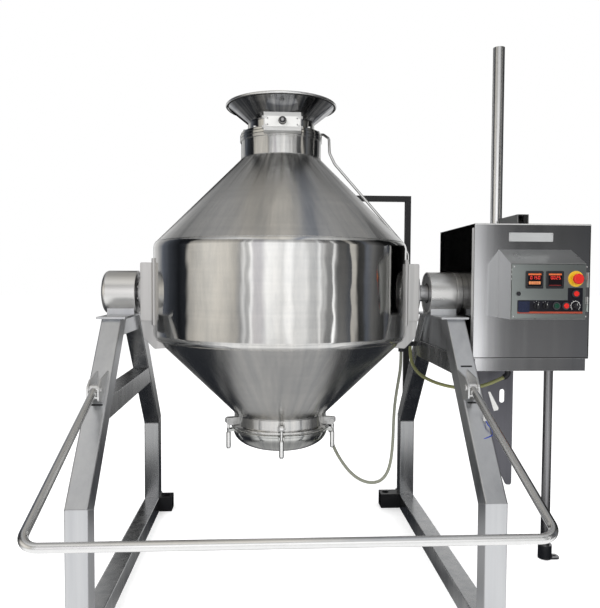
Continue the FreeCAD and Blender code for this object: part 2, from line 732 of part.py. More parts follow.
def trunnion_bearings():
    """Outer rings, rollers and end seals of both trunnion bearings."""
    solids = []
    track = RACE_R + 2 * ROLLER_PLAY + 2 * ROLLER_R
    for side in (-1, 1):
        middle = bearing_middle(side)
        left = middle - RACE_W / 2
        solids.append(ring(DRUM_R - DRUM_WALL, track, RACE_W, at(left, 0, 0), X))
        for i in range(ROLLER_COUNT):
            angle = 2 * math.pi * i / ROLLER_COUNT
            pitch = RACE_R + ROLLER_PLAY + ROLLER_R
            place = at(left + 3, pitch * math.cos(angle), pitch * math.sin(angle))
            solids.append(cyl(ROLLER_R, RACE_W - 6, place, X))
        edge = LEFT_DRUM_IN - SEAL_PLATE_T - 2 if side < 0 else RIGHT_DRUM_IN + 2
        solids.append(ring(DRUM_R - DRUM_WALL, SHAFT_R + RUN_GAP, SEAL_PLATE_T, at(edge, 0, 0), X))
    return group(solids)


# Stands

def sides():
    return ((-1, LEFT_STAND_X), (1, RIGHT_STAND_X))


def head_base():
    return -DRUM_R - HEAD_PLATE_T


def leg(stand_x, front):
    """Square tube that slopes down from the head plate, then stands on the runner."""
    top = head_base()
    slope = math.atan2(LEG_FOOT_Y - LEG_TOP_Y, top - LEG_BEND_Z)
    half = TUBE / 2

    def profile(h):
        """Outline of the leg, h either side of its centre line."""
        flat = h / math.cos(slope)
        shift = h * math.tan(slope / 2)
        foot = TUBE - TRUNNION_Z
        return [
            (-LEG_TOP_Y - flat, top, 0), (-LEG_FOOT_Y - h, LEG_BEND_Z + shift, 6),
            (-LEG_FOOT_Y - h, foot, 0), (-LEG_FOOT_Y + h, foot, 0),
            (-LEG_FOOT_Y + h, LEG_BEND_Z - shift, 6), (-LEG_TOP_Y + flat, top, 0),
        ]

    outer = prism(profile(half), "yz", stand_x - half, TUBE)
    inner = prism(profile(half - TUBE_WALL), "yz", stand_x - half + TUBE_WALL,
                  TUBE - 2 * TUBE_WALL)
    long_edges = [e for e in outer.Edges if e.BoundBox.XLength < 0.01 and e.Length > 200]
    outer = outer.makeFillet(5, long_edges)
    tube = outer.cut(inner)
    return tube if front else tube.mirror(V(0, 0, 0), Y)


def leg_inner_y(z):
    """Y of the leg's face towards the machine's middle, at height z on the slope."""
    top = head_base()
    slope = (LEG_FOOT_Y - LEG_TOP_Y) / (top - LEG_BEND_Z)
    flat = TUBE / 2 / math.cos(math.atan(slope))
    return LEG_TOP_Y + (top - z) * slope - flat


def base_runners():
    """Floor tubes with welded end plates."""
    solids = []
    reach = LEG_FOOT_Y + TUBE / 2 + 30
    low = -TRUNNION_Z
    for _, x in sides():
        half = TUBE / 2
        tube = prism([(x - half, low, 5), (x + half, low, 5), (x + half, low + TUBE, 5),
                      (x - half, low + TUBE, 5)], "xz", -reach, 2 * reach)
        core = box(x - half + TUBE_WALL, x + half - TUBE_WALL, -reach - 1, reach + 1,
                   low + TUBE_WALL, low + TUBE - TUBE_WALL)
        solids.append(tube.cut(core))
    return group(solids)


def runner_caps():
    """Plugs in the open ends of the floor tubes."""
    solids = []
    reach = LEG_FOOT_Y + TUBE / 2 + 30
    half = TUBE / 2 - TUBE_WALL
    low = -TRUNNION_Z
    for _, x in sides():
        for front in (-1, 1):
            y_face = front * reach
            plug = box(x - half, x + half, -14, 0, low + TUBE_WALL, low + TUBE - TUBE_WALL)
            cap = box(x - half - 2, x + half + 2, 0, 4, low + 2, low + TUBE - 2)
            piece = plug.fuse(cap)
            if front < 0:
                piece = piece.mirror(V(0, 0, 0), Y)
            piece.translate(V(0, y_face, 0))
            solids.append(piece)
    return solids


def braces():
    """Cross tubes between the front and rear legs."""
    solids = []
    for (_, x), z in zip(sides(), (LEFT_BRACE_Z, RIGHT_BRACE_Z)):
        half = TUBE / 2
        low = leg_inner_y(z - half)
        high = leg_inner_y(z + half)
        outline = [(-low, z - half, 0), (low, z - half, 0), (high, z + half, 0), (-high, z + half, 0)]
        wide = half - BRACE_INSET
        tube = prism(outline, "yz", x - wide, 2 * wide)
        core = box(x - wide + TUBE_WALL, x + wide - TUBE_WALL, -low - 1, low + 1,
                   z - half + TUBE_WALL, z + half - TUBE_WALL)
        solids.append(tube.cut(core))
    return group(solids)


def head_plates():
    """Seat plate under each drum, with a web plate between the leg tops."""
    solids = []
    top = -DRUM_R
    for (side, x), depth in zip(sides(), (LEFT_WEB_DEPTH, RIGHT_WEB_DEPTH)):
        left = max(x - HEAD_PLATE_W / 2, LEFT_DRUM_OUT) if side < 0 else RIGHT_DRUM_IN + 4
        right = min(left + HEAD_PLATE_W, CAB_LEFT - 4)
        plate = box(left, right, -HEAD_PLATE_HALF_Y, HEAD_PLATE_HALF_Y, head_base(), top)
        cradle = box(left, right, -DRUM_R * 0.7, DRUM_R * 0.7, top, top + 28)
        cradle = cradle.cut(cyl(DRUM_R, 400, at(left - 100, 0, 0), X))
        solids.append(plate.fuse(cradle).removeSplitter())
        low = head_base() - depth
        wide = leg_inner_y(low)
        narrow = leg_inner_y(head_base())
        web = prism([(-narrow, head_base(), 0), (-wide, low, 0), (wide, low, 0),
                     (narrow, head_base(), 0)], "yz", x - side * 20 - WEB_T / 2, WEB_T)
        solids.append(web)
    return group(solids)


def anchor_feet():
    """Four short open stubs welded to the runners, each with a floor anchor hole."""
    solids = []
    low = -TRUNNION_Z
    half = TUBE / 2
    for side, stand_x in sides():
        inner_face = stand_x - side * half
        tip = side * (FOOT_HOLE_X - FOOT_END)
        x0, x1 = min(inner_face, tip), max(inner_face, tip)
        for front in (-1, 1):
            y = front * FOOT_HOLE_Y
            stub = box(x0, x1, y - half, y + half, low, low + TUBE)
            core = box(x0 - 1, x1 + 1, y - half + FOOT_WALL, y + half - FOOT_WALL,
                       low + FOOT_WALL, low + TUBE - FOOT_WALL)
            hole = cyl(FOOT_HOLE_R, FOOT_WALL + 2, at(side * FOOT_HOLE_X, y, low - 1))
            access = cyl(2 * FOOT_HOLE_R, 20, at(side * FOOT_HOLE_X, y, low + TUBE - 15))
            solids.append(stub.cut([core, hole, access]))
    return group(solids)


# Guard rail

def rails():
    return (RAIL_LEFT_X, RAIL_RIGHT_X)


def guard_brackets():
    """Two cheeks on a back plate on each front leg, with the pivot pin across them."""
    solids = []
    slope = (LEG_FOOT_Y - LEG_TOP_Y) / (head_base() - LEG_BEND_Z)
    gap = RAIL_BOSS_W / 2 + RUN_GAP

    def face_y(z):
        """Y of the front leg's outer face."""
        flat = TUBE / 2 / math.cos(math.atan(slope))
        return -LEG_TOP_Y - (head_base() - z) * slope - flat

    high = RAIL_PIVOT_Z + CHEEK_H / 2
    low = RAIL_PIVOT_Z - CHEEK_H / 2
    nose = RAIL_PIVOT_Y - CHEEK_NOSE_R
    for x in rails():
        for inner in (x - gap - CHEEK_T, x + gap):
            cheek = prism([
                (face_y(high), high, 0), (RAIL_PIVOT_Y + 6, RAIL_PIVOT_Z + 32, 14),
                (nose, RAIL_PIVOT_Z + 10, 14), (nose, RAIL_PIVOT_Z - 36, 12),
                (face_y(low) - 12, low, 6), (face_y(low), low, 0),
            ], "yz", inner, CHEEK_T)
            cheek = cheek.cut(cyl(RAIL_PIN_R, 60, at(inner - 20, RAIL_PIVOT_Y, RAIL_PIVOT_Z), X))
            solids.append(cheek)
        pin_half = gap + CHEEK_T + 4
        pin = cyl(RAIL_PIN_R, 2 * pin_half, at(x - pin_half, RAIL_PIVOT_Y, RAIL_PIVOT_Z), X)
        head = cyl(RAIL_PIN_R + 4, 4, at(x - pin_half, RAIL_PIVOT_Y, RAIL_PIVOT_Z), X)
        tail = cyl(RAIL_PIN_R + 3, 3, at(x + pin_half - 3.5, RAIL_PIVOT_Y, RAIL_PIVOT_Z), X)
        solids.append(pin.fuse([head, tail]).removeSplitter())
        arm = arm_direction()
        below = V(0, -arm.z, arm.y) * (RAIL_R + STOP_R + RUN_GAP)
        stop = at(x - gap, RAIL_PIVOT_Y, RAIL_PIVOT_Z) + arm * STOP_REACH + below
        solids.append(cyl(STOP_R, 2 * gap, stop, X))
    return group(solids)


def arm_direction():
    """Unit vector from the rail's pivot towards its front bar."""
    return V(0, RAIL_BAR_Y - RAIL_PIVOT_Y, RAIL_BAR_Z - RAIL_PIVOT_Z).normalize()


def guard_rail():
    """U of round tube with a boss at each end that turns on the pivot pin."""
    arm = arm_direction()
    starts = [at(x, RAIL_PIVOT_Y, RAIL_PIVOT_Z) + arm * (RAIL_BOSS_R - 3) for x in rails()]
    corners = [at(x, RAIL_BAR_Y, RAIL_BAR_Z) for x in rails()]
    path = bent_path([starts[0], corners[0], corners[1], starts[1]], [RAIL_BEND_R, RAIL_BEND_R])
    tube = rod(path, RAIL_R)
    bosses = []
    bores = []
    for x in rails():
        place = at(x - RAIL_BOSS_W / 2, RAIL_PIVOT_Y, RAIL_PIVOT_Z)
        bosses.append(cyl(RAIL_BOSS_R, RAIL_BOSS_W, place, X))
        bores.append(cyl(RAIL_PIN_R + SHAFT_CLEAR, RAIL_BOSS_W + 20, place - X * 10, X))
    hollow = rod(path, RAIL_R - RAIL_WALL)
    return tube.cut(hollow).fuse(bosses).cut(bores).removeSplitter()


# Drive cabinet

def cabinet_body():
    """Folded sheet case, open at the back, with a lipped front edge and the drum opening."""
    s = CAB_SHEET
    case = prism([(CAB_LEFT, CAB_BOTTOM, 4), (CAB_RIGHT, CAB_BOTTOM, 4), (CAB_RIGHT, CAB_TOP, 4),
                  (CAB_LEFT, CAB_TOP, 4)], "xz", CAB_FRONT, CAB_BACK - CAB_FRONT)
    hollow = box(CAB_LEFT + s, CAB_RIGHT - s, CAB_FRONT + s, CAB_BACK + 1, CAB_BOTTOM + s,
                 CAB_TOP - s)
    case = case.cut(hollow)
    drum_hole = cyl(DRUM_R - DRUM_WALL, 40, at(CAB_LEFT - 20, 0, 0), X)
    wire_hole = cyl(14, 60, at(MAST_X, MAST_Y, CAB_TOP - 40))
    mouth = box(CON_LEFT + 20, CON_RIGHT - 20, CAB_FRONT - 10, CAB_FRONT + 10, CON_BOTTOM + 20,
                CON_TOP_FRONT - 20)
    return case.cut([drum_hole, wire_hole, mouth]).removeSplitter()


def cabinet_back_cover():
    """Lift-off back cover with a turned-in edge and louvres."""
    s = CAB_SHEET
    cover = box(CAB_LEFT, CAB_RIGHT, CAB_BACK, CAB_BACK + s, CAB_BOTTOM, CAB_TOP)
    edge = box(CAB_LEFT + s, CAB_RIGHT - s, CAB_BACK - 12, CAB_BACK, CAB_BOTTOM + s, CAB_TOP - s)
    core = box(CAB_LEFT + 2 * s, CAB_RIGHT - 2 * s, CAB_BACK - 13, CAB_BACK + 0.01,
               CAB_BOTTOM + 2 * s, CAB_TOP - 2 * s)
    cover = cover.fuse(edge.cut(core))
    slots = []
    for row in range(6):
        z = 60 + row * 22
        for x in (CAB_LEFT + CAB_W * k / 4 for k in (1, 2, 3)):
            slots.append(box(x - 45, x + 45, CAB_BACK - 2, CAB_BACK + 2 * s, z, z + 8))
    return cover.cut(slots).removeSplitter()


def cabinet_base_frame():
    """Inset channel frame under the cabinet, tied to the right stand."""
    x0, x1 = CAB_LEFT + BASE_INSET, CAB_RIGHT - BASE_INSET / 2
    y0, y1 = CAB_FRONT + BASE_INSET, CAB_BACK - BASE_INSET
    low = CAB_BOTTOM - BASE_DEPTH
    frame = box(x0, x1, y0, y1, low, CAB_BOTTOM)
    core = box(x0 + BASE_WALL, x1 - BASE_WALL, y0 + BASE_WALL, y1 - BASE_WALL, low - 1,
               CAB_BOTTOM + 1)
    frame = frame.cut(core)
    top_skin = box(x0 + BASE_WALL, x1 - BASE_WALL, y0 + BASE_WALL, y1 - BASE_WALL,
                   CAB_BOTTOM - BASE_WALL, CAB_BOTTOM)
    face = RIGHT_STAND_X + TUBE / 2 - BRACE_INSET
    ties = []
    for y in (y0, y1 - 30):
        ties.append(box(face, x0, y, y + 30, low, low + 30))
    under = CAB_BOTTOM - BASE_WALL
    cross = box(x0 + BASE_WALL, x1 - BASE_WALL, PLATE_Y, PLATE_Y + BASE_WALL, low, under)
    ledge = box(x0 + BASE_WALL, x1 - BASE_WALL, PLATE_Y, PLATE_Y + HANGER_D, low, low + BASE_WALL)
    return frame.fuse([top_skin, cross, ledge] + ties).removeSplitter()


def console_body():
    """Console case with a sloped top, open at the front behind its door."""
    s = CON_SHEET
    outline = [(CAB_FRONT, CON_BOTTOM, 0), (CON_FRONT, CON_BOTTOM, 3), (CON_FRONT, CON_TOP_FRONT, 3),
               (CAB_FRONT, CON_TOP_BACK, 0)]
    inside = [(CAB_FRONT + 1, CON_BOTTOM + s, 0), (CON_FRONT - 9, CON_BOTTOM + s, 0),
              (CON_FRONT - 9, CON_TOP_FRONT - s - 4, 0), (CAB_FRONT + 1, CON_TOP_BACK - s, 0)]
    case = prism(outline, "yz", CON_LEFT, CON_RIGHT - CON_LEFT)
    core = prism(inside, "yz", CON_LEFT + s, CON_RIGHT - CON_LEFT - 2 * s)
    hinges = []
    y = door_face() + 1
    for z in hinge_heights():
        above = z + KNUCKLE_H + RUN_GAP
        hinges.append(cyl(HINGE_PIN_R, 2 * KNUCKLE_H + RUN_GAP, at(CON_RIGHT + HINGE_OUT, y, z)))
        hinges.append(cyl(HINGE_R, KNUCKLE_H, at(CON_RIGHT + HINGE_OUT, y, above)))
        hinges.append(box(CON_RIGHT, CON_RIGHT + HINGE_OUT, y, y + 24, above, above + KNUCKLE_H))
    return case.cut(core).fuse(hinges).removeSplitter()


def hinge_heights():
    """Lower ends of the two door hinges."""
    return (CON_BOTTOM + 30, CON_TOP_FRONT - 90)


def door_face():
    return CON_FRONT - RUN_GAP - DOOR_T


def controls():
    """Places of the push buttons and turned controls on the door: x, z."""
    return {
        "start_button": (START_X, ROW_Z), "stop_button": (STOP_X, ROW_Z),
        "reset_button": (KNOB_X, RESET_Z), "estop_button": (ESTOP_X, ESTOP_Z),
        "left_selector": (SELECTOR_X[0], ROW_Z), "right_selector": (SELECTOR_X[1], ROW_Z),
        "speed_knob": (KNOB_X, ROW_Z),
    }


def console_door():
    """Front panel with a turned-in edge, meter cut-outs, control holes and hinge knuckles."""
    face = door_face()
    door = box(CON_LEFT + DOOR_MARGIN, CON_RIGHT - DOOR_MARGIN, face, face + DOOR_T,
               CON_BOTTOM + DOOR_MARGIN, CON_TOP_FRONT - DOOR_MARGIN)
    cuts = []
    for x in (METER_1_X, METER_2_X):
        cuts.append(box(x - METER / 2 + 3, x + METER / 2 - 3, face - 1, face + DOOR_T + 1,
                        METER_Z - METER / 2 + 3, METER_Z + METER / 2 - 3))
    for x, z in controls().values():
        cuts.append(cyl(STEM_R + SHAFT_CLEAR, 20, at(x, face - 10, z), Y))
    cuts.append(cyl(6 + SHAFT_CLEAR, 20, at(LOCK_X, face - 10, LOCK_Z), Y))
    door = door.cut(cuts)
    knuckles = []
    bores = []
    for z in hinge_heights():
        line = at(CON_RIGHT + HINGE_OUT, face + 1, z)
        knuckles.append(cyl(HINGE_R, KNUCKLE_H, line))
        knuckles.append(box(CON_RIGHT - DOOR_MARGIN - 1, CON_RIGHT + HINGE_OUT, face, face + 2.4,
                            z, z + KNUCKLE_H))
        bores.append(cyl(HINGE_PIN_R + SHAFT_CLEAR, KNUCKLE_H, line))
    return door.fuse(knuckles).cut(bores).removeSplitter()


def panel_meters():
    """Two square panel meters with raised bezels."""
    face = door_face()
    solids = []
    for x in (METER_1_X, METER_2_X):
        half = METER / 2
        bezel = prism([(x - half, METER_Z - half, 4), (x + half, METER_Z - half, 4),
                       (x + half, METER_Z + half, 4), (x - half, METER_Z + half, 4)],
                      "xz", face - METER_BEZEL_T, METER_BEZEL_T)
        window = box(x - half + 6, x + half - 6, face - METER_BEZEL_T - 1, face - METER_BEZEL_T + 2,
                     METER_Z - half + 8, METER_Z + half - 8)
        rear = box(x - half + 3.2, x + half - 3.2, face, face + METER_DEPTH,
                   METER_Z - half + 3.2, METER_Z + half - 3.2)
        solids.append(bezel.cut(window).fuse(rear).removeSplitter())
    return group(solids)


def legend_plate():
    """Dark legend strip round the lower row, with an upright part beside the meters."""
    face = door_face()
    low, high = ROW_Z - 30, ROW_Z + 21
    left = CON_LEFT + LEGEND_MARGIN_LEFT
    right = CON_RIGHT - LEGEND_MARGIN_RIGHT
    upright = right - LEGEND_UPRIGHT_W
    top = RESET_Z + 22
    plate = prism([(left, low, 2), (right, low, 2), (right, top, 2), (upright, top, 2),
                   (upright, high, 0), (left, high, 2)], "xz", face - LEGEND_T, LEGEND_T)
    cuts = []
    for name, (x, z) in controls().items():
        if name != "estop_button":
            cuts.append(cyl(STEM_R + SHAFT_CLEAR, 20, at(x, face - 10, z), Y))
    cuts.append(cyl(6 + SHAFT_CLEAR, 20, at(LOCK_X, face - 10, LOCK_Z), Y))
    return plate.cut(cuts)


def control_bezels():
    """Metal rings round the push buttons."""
    base = door_face() - LEGEND_T
    solids = []
    for name in ("start_button", "stop_button", "reset_button"):
        x, z = controls()[name]
        solids.append(ring(BEZEL_R, BEZEL_HOLE_R, 6, at(x, base - 6, z), Y))
    return group(solids)


def estop_plate():
    face = door_face()
    plate = ring(ESTOP_PLATE_R, STEM_R + SHAFT_CLEAR, 2, at(ESTOP_X, face - 2, ESTOP_Z), Y)
    collar = ring(15, STEM_R + SHAFT_CLEAR, 8, at(ESTOP_X, face - 10, ESTOP_Z), Y)
    return plate.fuse(collar).removeSplitter()


def estop_button():
    """Mushroom head on a stem; it is pushed in and stays in."""
    base = door_face() - 10 - 6
    x, z = ESTOP_X, ESTOP_Z
    cap = cyl(ESTOP_CAP_R, 12, at(x, base - 12, z), Y)
    cap = cap.makeFillet(5, [e for e in cap.Edges if abs(e.CenterOfMass.y - (base - 12)) < 0.1])
    stem = cyl(STEM_R, 44, at(x, base, z), Y)
    return cap.fuse(stem).removeSplitter()


def push_button(name):
    x, z = controls()[name]
    base = door_face() - LEGEND_T - 9
    cap = cyl(CAP_R, 4.5, at(x, base, z), Y)
    cap = cap.makeFillet(1.5, [e for e in cap.Edges if abs(e.CenterOfMass.y - base) < 0.1])
    return cap.fuse(cyl(STEM_R, 34, at(x, base + 2, z), Y)).removeSplitter()


def selector(name):
    """Short-handled selector switch."""
    x, z = controls()[name]
    base = door_face() - LEGEND_T - RUN_GAP
    body = cyl(11, 6, at(x, base - 6, z), Y)
    handle = prism([(x - 3.5, z - 10, 2), (x + 3.5, z - 10, 2), (x + 3.5, z + 10, 2),
                    (x - 3.5, z + 10, 2)], "xz", base - 16, 11)
    return body.fuse([handle, cyl(STEM_R, 34, at(x, base - 2, z), Y)]).removeSplitter()


def speed_knob():
    """Fluted knob of the speed control."""
    x, z = KNOB_X, ROW_Z
    base = door_face() - LEGEND_T - RUN_GAP
    knob = Part.makeCone(10, 12, 14, at(x, base - 14, z), Y)
    flutes = []
    for i in range(12):
        angle = 2 * math.pi * i / 12
        place = at(x + 13 * math.cos(angle), base - 15, z + 13 * math.sin(angle))
        flutes.append(cyl(2, 11, place, Y))
    pointer = box(x - 0.8, x + 0.8, base - 15, base - 13, z, z + 9)
    return knob.cut(flutes + [pointer]).fuse(cyl(STEM_R, 34, at(x, base - 2, z), Y)).removeSplitter()


def door_lock():
    """Quarter-turn lock with its cam behind the door."""
    face = door_face()
    barrel = cyl(6, 22, at(LOCK_X, face - 3, LOCK_Z), Y)
    head = cyl(10, 3, at(LOCK_X, face - 3 - RUN_GAP, LOCK_Z), Y)
    key = box(LOCK_X - 1, LOCK_X + 1, face - 5, face - 2, LOCK_Z - 5, LOCK_Z + 5)
    cam = prism([(LOCK_X + 7, LOCK_Z - 7, 2), (LOCK_X + 7, LOCK_Z + 7, 2),
                 (LOCK_X - 26, LOCK_Z + 7, 2), (LOCK_X - 26, LOCK_Z - 7, 2)], "xz",
                face + DOOR_T + 12, 3)
    return barrel.fuse([head, cam]).cut(key).removeSplitter()


def blank_plate():
    x0 = CAB_LEFT + 138
    z0 = CAB_TOP - 71
    return prism([(x0, z0, 3), (x0 + NAME_PLATE_W, z0, 3), (x0 + NAME_PLATE_W, z0 + NAME_PLATE_H, 3),
                  (x0, z0 + NAME_PLATE_H, 3)], "xz", CAB_FRONT - 1.5, 1.5)


def mast():
    """Tall tube on a bolted foot flange, capped at the top."""
    tube = cyl(MAST_R, MAST_TOP - CAB_TOP, at(MAST_X, MAST_Y, CAB_TOP))
    bore = cyl(MAST_R - MAST_WALL, MAST_TOP - CAB_TOP - 4, at(MAST_X, MAST_Y, CAB_TOP))
    foot = cyl(MAST_FOOT_R, MAST_FOOT_T, at(MAST_X, MAST_Y, CAB_TOP))
    bolts = []
    for i in range(4):
        angle = math.radians(45 + 90 * i)
        place = at(MAST_X + 38 * math.cos(angle), MAST_Y + 38 * math.sin(angle), CAB_TOP + MAST_FOOT_T)
        bolts.append(cyl(6.5, 5, place))
    return tube.fuse([foot] + bolts).cut(bore).removeSplitter()


def roof_duct():
    """Cable duct on the roof with an open front end."""
    outer = box(DUCT_X, DUCT_X + DUCT_W, DUCT_FRONT, DUCT_BACK, CAB_TOP, CAB_TOP + DUCT_H)
    inner = box(DUCT_X + 3, DUCT_X + DUCT_W - 3, DUCT_FRONT - 1, DUCT_BACK - 3, CAB_TOP + 3,
                CAB_TOP + DUCT_H - 3)
    return outer.cut(inner)


def support_pole():
    """Tube under the cabinet, welded into its floor socket."""
    top = CAB_BOTTOM - BASE_WALL
    low = -TRUNNION_Z + 8
    tube = ring(POLE_R, POLE_R - POLE_WALL, top - low, at(POLE_X, POLE_Y, low))
    return group([tube, pole_foot()])


def pole_foot():
    """Socket on the floor with a slotted lug for one anchor."""
    low = -TRUNNION_Z
    base = cyl(POLE_FOOT_R, POLE_FOOT_H, at(POLE_X, POLE_Y, low))
    bore = cyl(POLE_R, POLE_FOOT_H, at(POLE_X, POLE_Y, low + 8))
    lug = prism([(POLE_X, POLE_Y - 22, 0), (POLE_X + POLE_LUG, POLE_Y - 22, 18),
                 (POLE_X + POLE_LUG, POLE_Y + 22, 18), (POLE_X, POLE_Y + 22, 0)], "xy", low, 8)
    rib = prism([(POLE_X + 20, low + 8, 0), (POLE_X + 36, low + 8, 0), (POLE_X + 20, low + 40, 0)],
                "xz", POLE_Y - 3, 6)
    hole = cyl(POLE_HOLE_R, 12, at(POLE_X + POLE_LUG - POLE_HOLE_INSET, POLE_Y, low - 1))
    return base.fuse([lug, rib]).cut([bore, hole]).removeSplitter()


def lower_guard_plate():
    """Hanging guard plate with a folded edge, a slanted foot and an oblong hole."""
    top = CAB_BOTTOM - BASE_DEPTH
    skin = prism([(PLATE_LEFT, top, 0), (PLATE_RIGHT, top, 0), (PLATE_RIGHT, PLATE_END, 10),
                  (PLATE_RIGHT - 26, PLATE_END, 14), (PLATE_LEFT, PLATE_END + 330, 20)],
                 "xz", PLATE_Y, PLATE_T)
    edge = box(PLATE_RIGHT - PLATE_T, PLATE_RIGHT, PLATE_Y, PLATE_Y + PLATE_FLANGE,
               PLATE_END + 14, top)
    hanger = box(PLATE_LEFT, PLATE_RIGHT, PLATE_Y, PLATE_Y + HANGER_D, top - PLATE_T, top)
    x0, x1 = PLATE_RIGHT - 60, PLATE_RIGHT - 38
    slot = prism([(x0, top - 174, 11), (x1, top - 174, 11), (x1, top - 114, 11), (x0, top - 114, 11)],
                 "xz", PLATE_Y - 5, 20)
    return skin.fuse([edge, hanger]).cut(slot).removeSplitter()


def sensor_arm():
    """Post on the right rear leg with an arm reaching behind the vessel."""
    y0 = LEG_FOOT_Y + TUBE / 2
    half = ARM_TUBE / 2
    post = box(ARM_POST_X - half, ARM_POST_X + half, y0, y0 + ARM_TUBE, ARM_POST_FOOT, ARM_TOP)
    bar = box(ARM_END_X, ARM_POST_X, y0, y0 + ARM_TUBE, ARM_TOP - ARM_TUBE, ARM_TOP)
    arm = post.fuse(bar).removeSplitter()
    return arm.makeFillet(2.5, [e for e in arm.Edges if e.Length > 200])


SUPPLY_ROUTE = [
    at(634, 322, -262), at(634, 322, -296), at(637, 311, -332), at(646, 283, -364),
    at(662, 240, -388), at(685, 186, -402), at(712, 122, -410), at(744, 60, -413),
    at(781, 6, -412), at(822, -31, -405), at(864, -52, -392), at(905, -63, -374),
    at(945, -67, -354),
]


def supply_cable():
    return cord("supply_cable", SUPPLY_ROUTE, SUPPLY_CABLE_R)


def cable_glands():
    """Clip on the right rear leg and the bent gland under the cabinet."""
    start = SUPPLY_ROUTE[0]
    end = SUPPLY_ROUTE[-1]
    face = RIGHT_STAND_X - TUBE / 2
    clip = cyl(GLAND_R, GLAND_L, start)
    pad = Part.makeBox(face - start.x, 16, GLAND_L, V(start.x, start.y - 8, start.z))
    clip = clip.fuse(pad).removeSplitter()
    top = TRUNNION_Z + CAB_BOTTOM - BASE_WALL
    corner = end + (end - SUPPLY_ROUTE[-2]).normalize() * ELBOW_L
    elbow = rod(bent_path([end, corner, V(corner.x, corner.y, top)], [ELBOW_BEND_R]), GLAND_R)
    return group([clip, elbow])


# Drive train

def involute(base_r, r):
    """Angle of the involute at radius r."""
    t = math.sqrt(max(r * r / base_r / base_r - 1, 0))
    return t - math.atan(t)


def gear(teeth, bore_r, place, start_angle, rim=0.0, shaft=0.0):
    """Spur gear along X with involute flanks; a rim size gives it a recessed web."""
    pitch_r = GEAR_MODULE * teeth / 2
    base_r = pitch_r * math.cos(math.radians(20))
    tip_r = pitch_r + GEAR_MODULE
    root_r = pitch_r - 1.25 * GEAR_MODULE
    half_tooth = math.pi / 2 / teeth - GEAR_BACKLASH / 2 / pitch_r
    first = max(base_r, root_r + 0.3)
    radii = [first + (tip_r - first) * k / 3 for k in range(4)]
    flank = [(root_r, half_tooth + involute(base_r, pitch_r) - involute(base_r, first) + 0.01)]
    flank += [(r, half_tooth + involute(base_r, pitch_r) - involute(base_r, r)) for r in radii]
    points = []
    for tooth in range(teeth):
        centre = math.radians(start_angle) + 2 * math.pi * tooth / teeth
        for r, a in flank:
            points.append((r, centre - a))
        for r, a in reversed(flank):
            points.append((r, centre + a))
    corners = [place + V(0, r * math.cos(a), r * math.sin(a)) for r, a in points]
    wheel = Part.Face(Part.makePolygon(corners + corners[:1])).extrude(X * GEAR_W)
    if rim:
        web_r = root_r - rim
        for x0 in (0, GEAR_W - 12):
            wheel = wheel.cut(ring(web_r, bore_r + 24, 12, place + X * x0, X))
    return wheel.cut(cyl(bore_r, GEAR_W, place, X)) if bore_r else wheel


def drive_pinion():
    """Pinion cut on the reducer's output shaft."""
    drop = GEAR_MODULE * (BULL_TEETH + PINION_TEETH) / 2
    place = at(GEAR_X, 0, -drop)
    wheel = gear(PINION_TEETH, 0, place, 90)
    shaft = cyl(PINION_SHAFT_R, GEAR_W + 60, place, X)
    return wheel.fuse(shaft).removeSplitter()


def gear_motor():
    """Reducer on its foot, with the motor on its right face."""
    drop = GEAR_MODULE * (BULL_TEETH + PINION_TEETH) / 2
    left = GEAR_X + GEAR_W + 16
    reducer = prism([(-REDUCER_HALF, -drop - 84, 8), (REDUCER_HALF, -drop - 84, 8),
                     (REDUCER_HALF, -drop + 50, 20), (-REDUCER_HALF, -drop + 50, 20)],
                    "yz", left, 96)
    foot = box(left, left + 96, -REDUCER_HALF - 22, REDUCER_HALF + 22, CAB_BOTTOM + CAB_SHEET,
               -drop - 84 + 8)
    bore = cyl(PINION_SHAFT_R + SHAFT_CLEAR, 70, at(left - 1, 0, -drop), X)
    reducer = reducer.fuse(foot).cut(bore).removeSplitter()
    motor = cyl(MOTOR_R - 8, MOTOR_L, at(left + 96, 0, -drop), X)
    fins = []
    for i in range(9):
        x = left + 96 + 24 + i * 16
        fins.append(cyl(MOTOR_R, 6, at(x, 0, -drop), X))
    return group([reducer, motor.fuse(fins).removeSplitter()])


